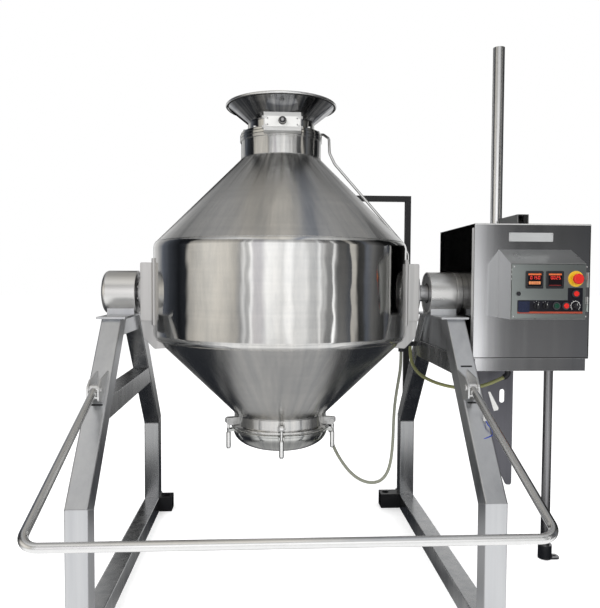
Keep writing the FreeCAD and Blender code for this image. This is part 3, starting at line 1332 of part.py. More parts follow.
def nodes():
    """Every sub-part under its own name."""
    parts = {
        "vessel_shell": vessel_shell(),
        "inlet_valve_body": inlet_valve_body(),
        "inlet_valve_disc": inlet_valve_disc(),
        "valve_operator": valve_operator(),
        "feed_funnel": feed_funnel(),
        "saddles": saddles(),
        "left_trunnion": trunnion(-1),
        "right_trunnion": trunnion(1),
        "bull_gear": bull_gear(),
        "air_pipe": air_pipe(),
        "lid_seal": lid_seal(),
        "discharge_lid": discharge_lid(),
        "clamp_lugs": clamp_lugs(),
        "lid_cable": lid_cable(),
        "lid_cable_glands": vessel_glands(),
        "left_bearing_housing": left_bearing_housing(),
        "right_bearing_housing": right_bearing_housing(),
        "trunnion_bearings": trunnion_bearings(),
        "left_front_leg": leg(LEFT_STAND_X, True),
        "left_rear_leg": leg(LEFT_STAND_X, False),
        "right_front_leg": leg(RIGHT_STAND_X, True),
        "right_rear_leg": leg(RIGHT_STAND_X, False),
        "base_runners": group(base_runners().Solids + runner_caps()),
        "braces": braces(),
        "head_plates": head_plates(),
        "anchor_feet": anchor_feet(),
        "guard_brackets": guard_brackets(),
        "guard_rail": guard_rail(),
        "cabinet_body": cabinet_body(),
        "cabinet_back_cover": cabinet_back_cover(),
        "cabinet_base_frame": cabinet_base_frame(),
        "console_body": console_body(),
        "console_door": console_door(),
        "panel_meters": panel_meters(),
        "legend_plate": legend_plate(),
        "control_bezels": control_bezels(),
        "estop_plate": estop_plate(),
        "estop_button": estop_button(),
        "speed_knob": speed_knob(),
        "door_lock": door_lock(),
        "blank_plate": blank_plate(),
        "mast": mast(),
        "roof_duct": roof_duct(),
        "support_pole": support_pole(),
        "lower_guard_plate": lower_guard_plate(),
        "sensor_arm": sensor_arm(),
        "supply_cable": supply_cable(),
        "cable_glands": cable_glands(),
        "drive_pinion": drive_pinion(),
        "gear_motor": gear_motor(),
    }
    for name in ("start_button", "stop_button", "reset_button"):
        parts[name] = push_button(name)
    for name in ("left_selector", "right_selector"):
        parts[name] = selector(name)
    for i, angle in enumerate(clamp_angles()):
        parts["swing_bolt_" + str(i + 1)] = swing_bolt(angle)
    return parts


os.makedirs("parts", exist_ok=True)
for node_name, shape in nodes().items():
    shape.exportStep("parts/" + node_name + ".step")
    if not shape.isValid() or not shape.Solids:
        print("check", node_name, shape.isValid(), len(shape.Solids))
print("done")
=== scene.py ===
"""Looks of a conical blender: finishes, small fittings, cables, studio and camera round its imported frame."""

import logging
import math
from dataclasses import dataclass, field
from enum import Enum
from typing import Iterable, Sequence

import bmesh
import bpy
from mathutils import Matrix, Vector


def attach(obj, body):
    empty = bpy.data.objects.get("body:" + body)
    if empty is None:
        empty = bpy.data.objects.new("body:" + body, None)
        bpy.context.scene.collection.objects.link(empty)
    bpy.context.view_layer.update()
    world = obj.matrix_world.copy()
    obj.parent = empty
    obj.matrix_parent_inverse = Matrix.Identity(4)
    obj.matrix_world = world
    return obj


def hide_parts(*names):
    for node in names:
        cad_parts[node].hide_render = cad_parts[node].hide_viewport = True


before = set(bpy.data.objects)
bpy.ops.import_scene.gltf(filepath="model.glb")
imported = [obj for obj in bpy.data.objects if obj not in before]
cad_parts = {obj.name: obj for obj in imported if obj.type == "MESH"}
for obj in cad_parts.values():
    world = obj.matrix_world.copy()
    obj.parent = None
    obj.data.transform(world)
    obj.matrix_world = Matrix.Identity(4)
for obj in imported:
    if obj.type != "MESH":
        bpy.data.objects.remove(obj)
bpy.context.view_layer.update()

LOG = logging.getLogger("conical_blender")
Colour = tuple[float, float, float]
TRUNNION_Z = 1.165       # floor to the axis the vessel turns on
MM = 0.001
PAINTED_STREAKS_START = 0.33       # height above the belt's middle at which the painted dark reflection streaks on the upper cone begin, in metres
PAINTED_STREAKS_FULL = 0.545       # height at which that painted reflection is darkest
CONE_END = 0.5455        # height at which the upper cone meets the neck
# Black base colour of the painted dark reflection on the cabinet's left wall
PAINTED_DARK_WALL: Colour = (0.002, 0.002, 0.002)
OFF_AXES = Vector((0.31, 0.17, 0.93))      # a direction that no bar or bead runs along
SHARP_ANGLE = math.radians(35)


def at(x: float, y: float, z: float) -> Vector:
    """Point in metres from millimetres, its height counted from the trunnion axis."""
    return Vector((x * MM, y * MM, z * MM + TRUNNION_Z))


class Grain(Enum):
    """How a ground surface was worked."""
    ROUND_VESSEL = "rings round the vertical axis"
    ALONG_X = "lines along X"
    ALONG_Z = "lines along Z"
    CAST = "no direction"


# How much finer the grain is across each axis than along it
STRETCHES: dict[Grain, tuple[float, float, float]] = {
    Grain.ALONG_X: (0.04, 1.0, 1.0),
    Grain.ALONG_Z: (1.0, 1.0, 0.04),
    Grain.CAST: (1.0, 1.0, 1.0),
}


# Shader node groups

class Graph:
    """A node tree with short ways to add and link nodes."""

    def __init__(self, tree: bpy.types.NodeTree) -> None:
        """Empties the tree that the nodes go into."""
        self.tree = tree
        tree.nodes.clear()

    def add(self, kind: str, settings: dict | None = None, **sockets: object) -> bpy.types.Node:
        """Adds a node.

        Args:
            kind: Blender's node type.
            settings: node properties to set.
            sockets: input names, with underscores for spaces, and a value or an output socket.

        Returns:
            The new node.
        """
        node = self.tree.nodes.new(kind)
        for name, value in (settings or {}).items():
            setattr(node, name, value)
        for name, value in sockets.items():
            self.set(node, name.replace("_", " "), value)
        return node

    def set(self, node: bpy.types.Node, name: str | int, value: object) -> None:
        """Gives an input a value, or links an output socket to it.

        Args:
            node: node whose input it is.
            name: the input's name or number.
            value: number, vector, colour or output socket.
        """
        socket = node.inputs[name]
        if isinstance(value, bpy.types.NodeSocket):
            self.tree.links.new(value, socket)
        elif isinstance(value, tuple) and len(value) == 3 and socket.type == "RGBA":
            socket.default_value = (*value, 1.0)
        else:
            socket.default_value = value

    def math(self, operation: str, first: object, second: object = 0.0) -> bpy.types.NodeSocket:
        """Adds a Math node.

        Args:
            operation: Blender's name of what it does.
            first: number or output socket.
            second: number or output socket.

        Returns:
            The result's socket.
        """
        node = self.add("ShaderNodeMath", {"operation": operation})
        self.set(node, 0, first)
        self.set(node, 1, second)
        return node.outputs[0]

    def mix(self, factor: object, first: object, second: object) -> bpy.types.NodeSocket:
        """Mixes two colours.

        Args:
            factor: share of the second colour.
            first: colour or output socket.
            second: colour or output socket.

        Returns:
            The mixed colour's socket.
        """
        node = self.add("ShaderNodeMix", {"data_type": "RGBA"})
        self.set(node, 0, factor)
        self.set(node, 6, first)
        self.set(node, 7, second)
        return node.outputs[2]

    def spread(self, value: object, low: float, high: float) -> bpy.types.NodeSocket:
        """Maps 0..1 onto low..high.

        Args:
            value: output socket to map.
            low: result at 0.
            high: result at 1.

        Returns:
            The result's socket.
        """
        node = self.add("ShaderNodeMapRange", None, Value=value)
        self.set(node, "To Min", low)
        self.set(node, "To Max", high)
        return node.outputs[0]


def new_group(name: str, inputs: dict[str, object], outputs: dict[str, str]) -> tuple[Graph, dict, dict]:
    """Makes a shader node group.

    Args:
        name: the group's name.
        inputs: socket names with a default number or vector.
        outputs: socket names with "value", "colour" or "vector".

    Returns:
        The graph, its input sockets by name, and its output sockets by name.
    """
    tree = bpy.data.node_groups.new(name, "ShaderNodeTree")
    graph = Graph(tree)
    kinds = {"value": "NodeSocketFloat", "colour": "NodeSocketColor", "vector": "NodeSocketVector"}
    for label, default in inputs.items():
        kind = "NodeSocketVector" if isinstance(default, tuple) else "NodeSocketFloat"
        socket = tree.interface.new_socket(label, in_out="INPUT", socket_type=kind)
        socket.default_value = default
    for label, kind in outputs.items():
        tree.interface.new_socket(label, in_out="OUTPUT", socket_type=kinds[kind])
    start = graph.add("NodeGroupInput")
    end = graph.add("NodeGroupOutput")
    return graph, {s.name: s for s in start.outputs}, {s.name: s for s in end.inputs}


class Effects:
    """Effects that several finishes share, each built once as a node group."""

    def __init__(self) -> None:
        """Builds the groups."""
        self.grain = self._grain()
        self.edges = self._edges()
        self.marks = self._marks()
        self.round_axis = self._round_axis()
        self.side = self._side()

    def _grain(self) -> bpy.types.NodeTree:
        """Fine lines and wide bands of a ground surface, stretched by a vector.

        Returns:
            The group.
        """
        graph, given, made = new_group(
            "MetalGrain", {"Vector": (0.0, 0.0, 0.0), "Stretch": (1.0, 1.0, 1.0), "Scale": 40.0},
            {"Lines": "value", "Bands": "value"})
        stretched = graph.add("ShaderNodeVectorMath", {"operation": "MULTIPLY"})
        graph.set(stretched, 0, given["Vector"])
        graph.set(stretched, 1, given["Stretch"])
        fine = graph.add("ShaderNodeTexNoise", None, Vector=stretched.outputs[0], Scale=given["Scale"],
                         Detail=7.0, Roughness=0.7)
        wide_scale = graph.math("MULTIPLY", given["Scale"], 0.09)
        wide = graph.add("ShaderNodeTexNoise", None, Vector=stretched.outputs[0], Scale=wide_scale,
                         Detail=3.0, Roughness=0.55)
        graph.tree.links.new(fine.outputs[0], made["Lines"])
        graph.tree.links.new(wide.outputs[0], made["Bands"])
        return graph.tree

    def _edges(self) -> bpy.types.NodeTree:
        """Rounded normal and wear mask along edges.

        Returns:
            The group.
        """
        graph, given, made = new_group("EdgeWear", {"Radius": 0.002, "Break up": 30.0},
                                       {"Mask": "value", "Normal": "vector"})
        bevel = graph.add("ShaderNodeBevel", {"samples": 4}, Radius=given["Radius"])
        plain = graph.add("ShaderNodeNewGeometry")
        dot = graph.add("ShaderNodeVectorMath", {"operation": "DOT_PRODUCT"})
        graph.set(dot, 0, bevel.outputs[0])
        graph.set(dot, 1, plain.outputs["Normal"])
        bend = graph.math("SUBTRACT", 1.0, dot.outputs["Value"])
        place = graph.add("ShaderNodeTexCoord")
        noise = graph.add("ShaderNodeTexNoise", None, Vector=place.outputs["Object"],
                          Scale=given["Break up"], Detail=4.0)
        strong = graph.math("MULTIPLY", bend, 9.0)
        broken = graph.math("MULTIPLY", strong, noise.outputs[0])
        limited = graph.math("MINIMUM", broken, 1.0)
        graph.tree.links.new(limited, made["Mask"])
        graph.tree.links.new(bevel.outputs[0], made["Normal"])
        return graph.tree

    def _marks(self) -> bpy.types.NodeTree:
        """Soft smudges, run marks that hang down, and fine dust specks.

        Returns:
            The group.
        """
        graph, given, made = new_group("WipeMarks", {"Vector": (0.0, 0.0, 0.0), "Scale": 3.0},
                                       {"Smudge": "value", "Runs": "value", "Specks": "value"})
        soft = graph.add("ShaderNodeTexNoise", None, Vector=given["Vector"], Scale=given["Scale"],
                         Detail=5.0, Roughness=0.62, Distortion=0.6)
        hang = graph.add("ShaderNodeVectorMath", {"operation": "MULTIPLY"})
        graph.set(hang, 0, given["Vector"])
        hang.inputs[1].default_value = (7.0, 7.0, 0.6)
        runs = graph.add("ShaderNodeTexNoise", None, Vector=hang.outputs[0], Scale=given["Scale"],
                         Detail=4.0, Roughness=0.6)
        speck_scale = graph.math("MULTIPLY", given["Scale"], 90.0)
        specks = graph.add("ShaderNodeTexVoronoi", None, Vector=given["Vector"], Scale=speck_scale)
        near = graph.add("ShaderNodeMapRange", None, Value=specks.outputs["Distance"])
        graph.set(near, "From Max", 0.22)
        graph.set(near, "To Min", 1.0)
        graph.set(near, "To Max", 0.0)
        for source, name in ((soft.outputs[0], "Smudge"), (runs.outputs[0], "Runs"),
                             (near.outputs[0], "Specks")):
            graph.tree.links.new(source, made[name])
        return graph.tree

    def _round_axis(self) -> bpy.types.NodeTree:
        """Streaks along the height, fine rings and slow waves of a turned vessel, and two masks.

        The masks are the vessel's belt and a painted dark reflection in streaks on its upper cone, below the
        neck.

        Returns:
            The group.
        """
        graph, given, made = new_group(
            "RoundAxis",
            {"Vector": (0.0, 0.0, 0.0), "Height share": 0.35, "Ring share": 40.0, "Wave share": 1.3,
             "Belt middle": 1.175, "Belt half": 0.19},
            {"Streaks": "value", "Rings": "value", "Waves": "value", "Belt": "value", "Painted reflection": "value"})
        parts = graph.add("ShaderNodeSeparateXYZ", None, Vector=given["Vector"])
        flat = graph.add("ShaderNodeCombineXYZ", None, X=parts.outputs[0], Y=parts.outputs[1], Z=0.0)
        unit = graph.add("ShaderNodeVectorMath", {"operation": "NORMALIZE"})
        graph.set(unit, 0, flat.outputs[0])
        circle = graph.add("ShaderNodeSeparateXYZ", None, Vector=unit.outputs[0])
        patterns = {}
        for share, name, scale, detail, rough in (
                ("Height share", "Streaks", 9.0, 5.0, 0.62), ("Ring share", "Rings", 1.6, 1.0, 0.5),
                ("Wave share", "Waves", 5.0, 1.5, 0.45)):
            height = graph.math("MULTIPLY", parts.outputs[2], given[share])
            joined = graph.add("ShaderNodeCombineXYZ", None, X=circle.outputs[0], Y=circle.outputs[1],
                               Z=height)
            noise = graph.add("ShaderNodeTexNoise", None, Vector=joined.outputs[0], Scale=scale,
                              Detail=detail, Roughness=rough)
            patterns[name] = noise.outputs[0]
            graph.tree.links.new(noise.outputs[0], made[name])
        above = graph.math("SUBTRACT", parts.outputs[2], given["Belt middle"])
        inside = graph.math("LESS_THAN", graph.math("ABSOLUTE", above), given["Belt half"])
        graph.tree.links.new(inside, made["Belt"])
        # Mask of the painted dark reflection: streaks on the upper cone that grow darker towards the neck
        near_neck = graph.add("ShaderNodeMapRange", None, Value=above)
        graph.set(near_neck, "From Min", PAINTED_STREAKS_START)
        graph.set(near_neck, "From Max", PAINTED_STREAKS_FULL)
        broken = graph.spread(patterns["Streaks"], -1.6, 3.2)
        on_cone = graph.math("MULTIPLY", near_neck.outputs[0], graph.math("LESS_THAN", above, CONE_END))
        dim = graph.add("ShaderNodeMath", {"operation": "MULTIPLY", "use_clamp": True})
        graph.set(dim, 0, on_cone)
        graph.set(dim, 1, broken)
        graph.tree.links.new(dim.outputs[0], made["Painted reflection"])
        return graph.tree

    def _side(self) -> bpy.types.NodeTree:
        """Mask of the faces that look in a direction.

        Returns:
            The group.
        """
        graph, given, made = new_group("SideMask", {"Normal": (0.0, 0.0, 1.0), "Direction": (0.0, 0.0, 1.0)},
                                       {"Mask": "value"})
        dot = graph.add("ShaderNodeVectorMath", {"operation": "DOT_PRODUCT"})
        graph.set(dot, 0, given["Normal"])
        graph.set(dot, 1, given["Direction"])
        ramp = graph.add("ShaderNodeMapRange", None, Value=dot.outputs["Value"])
        graph.set(ramp, "From Min", 0.75)
        graph.set(ramp, "From Max", 0.95)
        graph.tree.links.new(ramp.outputs[0], made["Mask"])
        return graph.tree

    @staticmethod
    def place(graph: Graph, tree: bpy.types.NodeTree, **sockets: object) -> bpy.types.Node:
        """Puts a group into a material's graph with its own values.

        Args:
            graph: the material's graph.
            tree: the group.
            sockets: input names, with underscores for spaces, and a value or an output socket.

        Returns:
            The group's node.
        """
        node = graph.add("ShaderNodeGroup", {"node_tree": tree})
        for name, value in sockets.items():
            graph.set(node, name.replace("_", " "), value)
        return node


# Finishes

def new_material(name: str) -> tuple[bpy.types.Material, Graph]:
    """Makes a material with an empty graph.

    Args:
        name: its name.

    Returns:
        The material and its graph.
    """
    material = bpy.data.materials.new(name)
    material.use_nodes = True
    return material, Graph(material.node_tree)


def finish_surface(graph: Graph, shader: bpy.types.Node) -> None:
    """Puts a shader on the surface."""
    out = graph.add("ShaderNodeOutputMaterial")
    graph.tree.links.new(shader.outputs[0], out.inputs["Surface"])


@dataclass(frozen=True)
class Steel:
    """Ground or polished stainless steel.

    Attributes:
        name: material name.
        light: colour of the brightest ground lines.
        dark: colour between them.
        rough: lowest and highest roughness.
        grain: working direction.
        line_depth: depth of the ground lines in metres.
        wave_depth: depth of the sheet's slow waviness in metres.
        edge: radius by which edges look rounded, in metres.
        contrast: how far the tone runs from dark to light.
        painted_dark_side: faces towards this direction get a black base colour, a painted dark reflection.
        swept: how far a turned surface draws reflections out along its height.
        satin_cones: how much rougher the cones are than the belt.
        painted_neck_reflection: strength of the painted dark reflection, in streaks that run down from the
            neck.
    """
    name: str
    light: Colour
    dark: Colour
    rough: tuple[float, float]
    grain: Grain = Grain.CAST
    line_depth: float = 0.00001
    wave_depth: float = 0.0
    edge: float = 0.002
    contrast: float = 1.0
    painted_dark_side: Colour | None = None
    swept: float = 0.0
    satin_cones: float = 0.0
    painted_neck_reflection: float = 0.0

    def _bands(self, graph: Graph, effects: Effects, place: bpy.types.NodeSocket) -> tuple:
        """Tone bands, fine lines, slow waves and the turned steel's masks for the working direction.

        Args:
            graph: the material's graph.
            effects: the shared effects.
            place: object coordinates.

        Returns:
            Sockets of the bands, the lines, the waves, and the belt mask and the neck's painted-reflection
            mask of turned steel.
        """
        if self.grain is Grain.ROUND_VESSEL:
            turned = effects.place(graph, effects.round_axis, Vector=place)
            return tuple(turned.outputs[name] for name in ("Streaks", "Rings", "Waves", "Belt", "Painted reflection"))
        grain = effects.place(graph, effects.grain, Vector=place, Stretch=STRETCHES[self.grain], Scale=260.0)
        waves = graph.add("ShaderNodeTexNoise", None, Vector=place, Scale=4.0, Detail=1.5)
        return grain.outputs["Bands"], grain.outputs["Lines"], waves.outputs[0], None, None

    def build(self, effects: Effects) -> bpy.types.Material:
        """Builds the material.

        Args:
            effects: the shared effects.

        Returns:
            The material.
        """
        material, graph = new_material(self.name)
        coordinates = graph.add("ShaderNodeTexCoord")
        place = coordinates.outputs["Object"]
        bands, lines, waves, belt, painted_cone_mask = self._bands(graph, effects, place)
        marks = effects.place(graph, effects.marks, Vector=place, Scale=2.6)
        edges = effects.place(graph, effects.edges, Radius=self.edge)
        blend = graph.math("ADD", graph.math("MULTIPLY", bands, 0.85), graph.math("MULTIPLY", lines, 0.15))
        tone = graph.spread(blend, 0.5 - 1.25 * self.contrast, 0.5 + 1.25 * self.contrast)
        colour = graph.mix(tone, self.dark, self.light)
        dulled = graph.mix(graph.math("MULTIPLY", marks.outputs["Smudge"], 0.25), colour, self.dark)
        worn = graph.mix(graph.math("MULTIPLY", edges.outputs["Mask"], 0.5), dulled, self.light)
        # Painted reflection: the upper cone's colour is darkened in streaks towards the neck
        if self.painted_neck_reflection:
            dim = tuple(c * 0.30 for c in self.dark)
            worn = graph.mix(graph.math("MULTIPLY", painted_cone_mask, self.painted_neck_reflection), worn, dim)
        # Painted dark reflection: faces towards the given side are made black
        if self.painted_dark_side:
            side = effects.place(graph, effects.side, Normal=coordinates.outputs["Normal"],
                                 Direction=self.painted_dark_side)
            worn = graph.mix(side.outputs["Mask"], worn, PAINTED_DARK_WALL)
        mean = graph.math("ADD", graph.math("MULTIPLY", marks.outputs["Smudge"], 0.5),
                          graph.math("MULTIPLY", bands, 0.5))
        rough = graph.spread(graph.math("SUBTRACT", graph.math("MULTIPLY", mean, 2.4), 0.7), *self.rough)
        if self.satin_cones:
            cones = graph.math("SUBTRACT", 1.0, belt)
            rough = graph.math("ADD", rough, graph.math("MULTIPLY", cones, self.satin_cones))
        relief = graph.add("ShaderNodeBump", None, Height=lines, Strength=1.0,
                           Distance=self.line_depth, Normal=edges.outputs["Normal"])
        normal = relief.outputs[0]
        if self.wave_depth:
            slow = graph.add("ShaderNodeBump", None, Height=waves, Strength=1.0,
                             Distance=self.wave_depth, Normal=normal)
            normal = slow.outputs[0]
        shader = graph.add("ShaderNodeBsdfPrincipled", None, Base_Color=worn, Roughness=rough,
                           Normal=normal)
        shader.inputs["Metallic"].default_value = 1.0
        if self.swept:
            tangent = graph.add("ShaderNodeTangent", {"direction_type": "RADIAL", "axis": "Z"})
            graph.set(shader, "Tangent", tangent.outputs[0])
            shader.inputs["Anisotropic"].default_value = self.swept
            shader.inputs["Anisotropic Rotation"].default_value = 0.25
        finish_surface(graph, shader)
        return material


@dataclass(frozen=True)
class Coated:
    """Paint, moulded plastic or rubber.

    Attributes:
        name: material name.
        colour: base colour.
        worn: colour where edges are rubbed.
        rough: lowest and highest roughness.
        pebble: depth of the surface's texture in metres.
        pebble_scale: how fine that texture is.
        specular: specular level.
        glow: strength of its own light.
    """
    name: str
    colour: Colour
    worn: Colour
    rough: tuple[float, float]
    pebble: float = 0.00005
    pebble_scale: float = 700.0
    specular: float = 0.5
    glow: float = 0.0

    def build(self, effects: Effects) -> bpy.types.Material:
        """Builds the material.

        Args:
            effects: the shared effects.

        Returns:
            The material.
        """
        material, graph = new_material(self.name)
        place = graph.add("ShaderNodeTexCoord").outputs["Object"]
        marks = effects.place(graph, effects.marks, Vector=place, Scale=6.0)
        edges = effects.place(graph, effects.edges, Radius=0.001)
        darker = tuple(c * 0.78 for c in self.colour)
        toned = graph.mix(marks.outputs["Smudge"], self.colour, darker)
        dusty = graph.mix(graph.math("MULTIPLY", marks.outputs["Specks"], 0.10), toned, self.worn)
        colour = graph.mix(graph.math("MULTIPLY", edges.outputs["Mask"], 0.6), dusty, self.worn)
        rough = graph.spread(marks.outputs["Runs"], *self.rough)
        noise = graph.add("ShaderNodeTexNoise", None, Vector=place, Scale=self.pebble_scale, Detail=3.0)
        bump = graph.add("ShaderNodeBump", None, Height=noise.outputs[0], Strength=1.0,
                         Distance=self.pebble, Normal=edges.outputs["Normal"])
        shader = graph.add("ShaderNodeBsdfPrincipled", None, Base_Color=colour, Roughness=rough,
                           Normal=bump.outputs[0])
        shader.inputs["Specular IOR Level"].default_value = self.specular
        if self.glow:
            graph.set(shader, "Emission Color", colour)
            shader.inputs["Emission Strength"].default_value = self.glow
        finish_surface(graph, shader)
        return material


FINISHES: tuple[Steel | Coated, ...] = (
    # vessel_polish carries the painted dark reflection in streaks below the neck
    Steel("vessel_polish", (0.80, 0.785, 0.755), (0.58, 0.585, 0.585), (0.05, 0.13), Grain.ROUND_VESSEL,
          0.000001, 0.0020, 0.004, 1.2, swept=0.9, satin_cones=0.09, painted_neck_reflection=0.8),
    Steel("neck_polish", (0.94, 0.92, 0.87), (0.60, 0.61, 0.59), (0.04, 0.12), Grain.ROUND_VESSEL,
          0.000001, 0.0010, 0.0015, 1.4, swept=0.7),
    Steel("funnel_polish", (0.56, 0.56, 0.56), (0.20, 0.21, 0.23), (0.08, 0.20), Grain.ROUND_VESSEL,
          0.000001, 0.0008, 0.0015, 2.0, swept=0.7),
    Steel("lid_polish", (0.74, 0.74, 0.71), (0.42, 0.43, 0.43), (0.10, 0.22), Grain.ROUND_VESSEL,
          0.000001, 0.0004, 0.0015, 1.1, swept=0.6),
    Steel("saddle_satin", (0.66, 0.65, 0.64), (0.44, 0.44, 0.435), (0.26, 0.42), Grain.ALONG_Z,
          0.000002, 0.0006, 0.003, 1.3),
    Steel("bracket_satin", (0.94, 0.94, 0.93), (0.78, 0.78, 0.78), (0.30, 0.42), Grain.CAST, 0.000002),
    Steel("drum_satin", (0.88, 0.87, 0.85), (0.76, 0.76, 0.75), (0.25, 0.34), Grain.ALONG_X,
          0.000006, 0.0, 0.003, 0.7),
    Steel("lug_steel", (0.62, 0.62, 0.61), (0.40, 0.40, 0.40), (0.14, 0.28), Grain.CAST, 0.000001),
    Steel("bar_satin", (0.92, 0.92, 0.91), (0.80, 0.80, 0.80), (0.18, 0.28), Grain.CAST, 0.0000002,
          contrast=0.5),
    Steel("leg_mill", (0.72, 0.73, 0.74), (0.54, 0.55, 0.57), (0.24, 0.38), Grain.ALONG_Z,
          0.000001, 0.0004, 0.003, 0.8),
    # Darker copy of leg_mill for the rear legs, base runners and braces: painted shade
    Steel("rear_leg_mill", (0.58, 0.58, 0.58), (0.38, 0.39, 0.40), (0.20, 0.32), Grain.ALONG_Z,
          0.000001, 0.0004, 0.003, 1.0),
    # cabinet_sheet makes its left wall (-X) black: a painted dark reflection
    Steel("cabinet_sheet", (0.66, 0.66, 0.67), (0.52, 0.525, 0.54), (0.09, 0.17), Grain.ALONG_Z,
          0.000003, 0.0006, 0.003, 0.6, (-1.0, 0.0, 0.0)),
    Steel("console_sheet", (0.56, 0.565, 0.56), (0.46, 0.47, 0.47), (0.24, 0.34), Grain.ALONG_Z,
          0.000001, 0.0003, 0.002, 0.5),
    Steel("door_sheet", (0.50, 0.54, 0.52), (0.42, 0.46, 0.45), (0.26, 0.38), Grain.ALONG_X,
          0.000003, 0.0003, 0.0015, 0.6),
    Steel("dark_sheet", (0.22, 0.22, 0.24), (0.14, 0.14, 0.16), (0.30, 0.44), Grain.ALONG_Z,
          0.000006, 0.0006, 0.002),
    Steel("pole_satin", (0.40, 0.40, 0.41), (0.28, 0.28, 0.29), (0.22, 0.34), Grain.ALONG_Z, 0.000001),
    Steel("machined_finish", (0.60, 0.60, 0.60), (0.42, 0.42, 0.43), (0.25, 0.40), Grain.CAST, 0.000002),
    Coated("black_paint", (0.012, 0.012, 0.014), (0.10, 0.10, 0.10), (0.30, 0.50)),
    Coated("motor_enamel", (0.07, 0.12, 0.17), (0.3, 0.3, 0.3), (0.30, 0.48), 0.0001, 300.0),
    # White paint darkened to grey for the operator's body round its white front panel: painted shade
    Coated("white_operator_paint", (0.60, 0.60, 0.59), (0.40, 0.40, 0.39), (0.28, 0.45)),
    Coated("white_panel_paint", (0.86, 0.86, 0.84), (0.50, 0.50, 0.48), (0.26, 0.40)),
    # Pale paint for strips on the cabinet's folded edges: painted highlights
    Coated("cabinet_trim", (0.66, 0.66, 0.65), (0.4, 0.4, 0.4), (0.28, 0.42), 0.00001),
    Coated("pale_plate", (0.52, 0.53, 0.53), (0.40, 0.40, 0.40), (0.30, 0.48)),
    Coated("white_seal_rubber", (0.72, 0.72, 0.69), (0.5, 0.5, 0.48), (0.5, 0.7)),
    Coated("black_rubber", (0.01, 0.01, 0.01), (0.05, 0.05, 0.05), (0.5, 0.7)),
    Coated("grey_jacket", (0.34, 0.35, 0.28), (0.5, 0.5, 0.44), (0.42, 0.6), 0.0001, 400.0),
    Coated("olive_jacket", (0.40, 0.41, 0.17), (0.55, 0.55, 0.38), (0.40, 0.58), 0.0001, 400.0),
    Coated("black_moulding", (0.014, 0.014, 0.018), (0.07, 0.07, 0.07), (0.32, 0.50)),
    Coated("smoked_window", (0.006, 0.004, 0.006), (0.04, 0.04, 0.04), (0.06, 0.14), 0.0),
    Coated("legend_film", (0.006, 0.006, 0.012), (0.06, 0.06, 0.08), (0.24, 0.38), 0.0),
    Coated("navy_pad", (0.006, 0.012, 0.045), (0.06, 0.07, 0.12), (0.26, 0.42)),
    Coated("yellow_moulding", (0.90, 0.55, 0.02), (0.95, 0.75, 0.3), (0.26, 0.42)),
    Coated("red_moulding", (0.75, 0.018, 0.012), (0.85, 0.25, 0.2), (0.18, 0.32)),
    Coated("green_moulding", (0.006, 0.06, 0.035), (0.1, 0.3, 0.2), (0.2, 0.34)),
    Coated("digit_glow", (0.95, 0.03, 0.02), (1.0, 0.1, 0.05), (0.3, 0.5), 0.0, 700.0, 0.5, 0.7),
    Coated("faint_digit_glow", (0.16, 0.008, 0.008), (0.2, 0.02, 0.02), (0.3, 0.5), 0.0, 700.0, 0.5, 0.3),
    Coated("orange_print", (0.78, 0.15, 0.03), (0.9, 0.4, 0.2), (0.3, 0.5), 0.0),
    Coated("red_print", (0.42, 0.055, 0.02), (0.6, 0.2, 0.1), (0.3, 0.5), 0.0),
    Coated("amber_print", (0.85, 0.30, 0.10), (0.9, 0.5, 0.3), (0.3, 0.5), 0.0),
    Coated("white_print", (0.80, 0.80, 0.78), (0.6, 0.6, 0.6), (0.4, 0.55), 0.0),
    Coated("blue_insulation", (0.02, 0.06, 0.42), (0.2, 0.25, 0.6), (0.3, 0.45)),
    Coated("white_nylon", (0.82, 0.82, 0.80), (0.6, 0.6, 0.6), (0.35, 0.5)),
)


# Mesh building

def add_object(name: str, mesh: bmesh.types.BMesh, finish: str, body: str) -> bpy.types.Object:
    """Turns a bmesh into a piece that rides on a body.

    Args:
        name: the piece's name.
        mesh: finished bmesh, which is freed.
        finish: material name.
        body: CAD body that it rides on.

    Returns:
        The new object.
    """
    bmesh.ops.remove_doubles(mesh, verts=mesh.verts, dist=1e-7)
    bmesh.ops.recalc_face_normals(mesh, faces=mesh.faces)
    data = bpy.data.meshes.new(name)
    mesh.to_mesh(data)
    mesh.free()
    piece = bpy.data.objects.new(name, data)
    bpy.context.scene.collection.objects.link(piece)
    data.materials.append(bpy.data.materials[finish])
    data.shade_smooth()
    data.set_sharp_from_angle(angle=SHARP_ANGLE)
    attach(piece, body)
    LOG.info("piece %s rides on %s", name, body)
    return piece


def lathe(mesh: bmesh.types.BMesh, profile: Sequence[tuple[float, float]], place: Matrix,
          segments: int = 24) -> None:
    """Adds a turned form to a bmesh.

    Args:
        mesh: bmesh to add to.
        profile: (radius, height) in metres from the bottom up; a radius of 0 closes an end.
        place: where the form's axis and base go.
        segments: steps round the axis.
    """
    rings = []
    for radius, height in profile:
        if radius < 1e-9:
            rings.append([mesh.verts.new(place @ Vector((0, 0, height)))])
            continue
        rings.append([mesh.verts.new(place @ Vector((radius * math.cos(2 * math.pi * i / segments),
                                                     radius * math.sin(2 * math.pi * i / segments),
                                                     height))) for i in range(segments)])
    for low, high in zip(rings, rings[1:]):
        for i in range(segments):
            k = (i + 1) % segments
            corners = [low[i % len(low)], low[k % len(low)], high[k % len(high)], high[i % len(high)]]
            unique = list(dict.fromkeys(corners))
            if len(unique) > 2:
                mesh.faces.new(unique)


def closed_lathe(mesh: bmesh.types.BMesh, profile: Sequence[tuple[float, float]], place: Matrix,
                 segments: int = 96) -> None:
    """Adds a turned ring whose outline is closed, such as a bead."""
    lathe(mesh, [*profile, profile[0]], place, segments)


def facing(point: Vector, direction: Vector) -> Matrix:
    """Place at a point with the local Z axis along a direction."""
    return Matrix.Translation(point) @ direction.to_track_quat("Z", "Y").to_matrix().to_4x4()


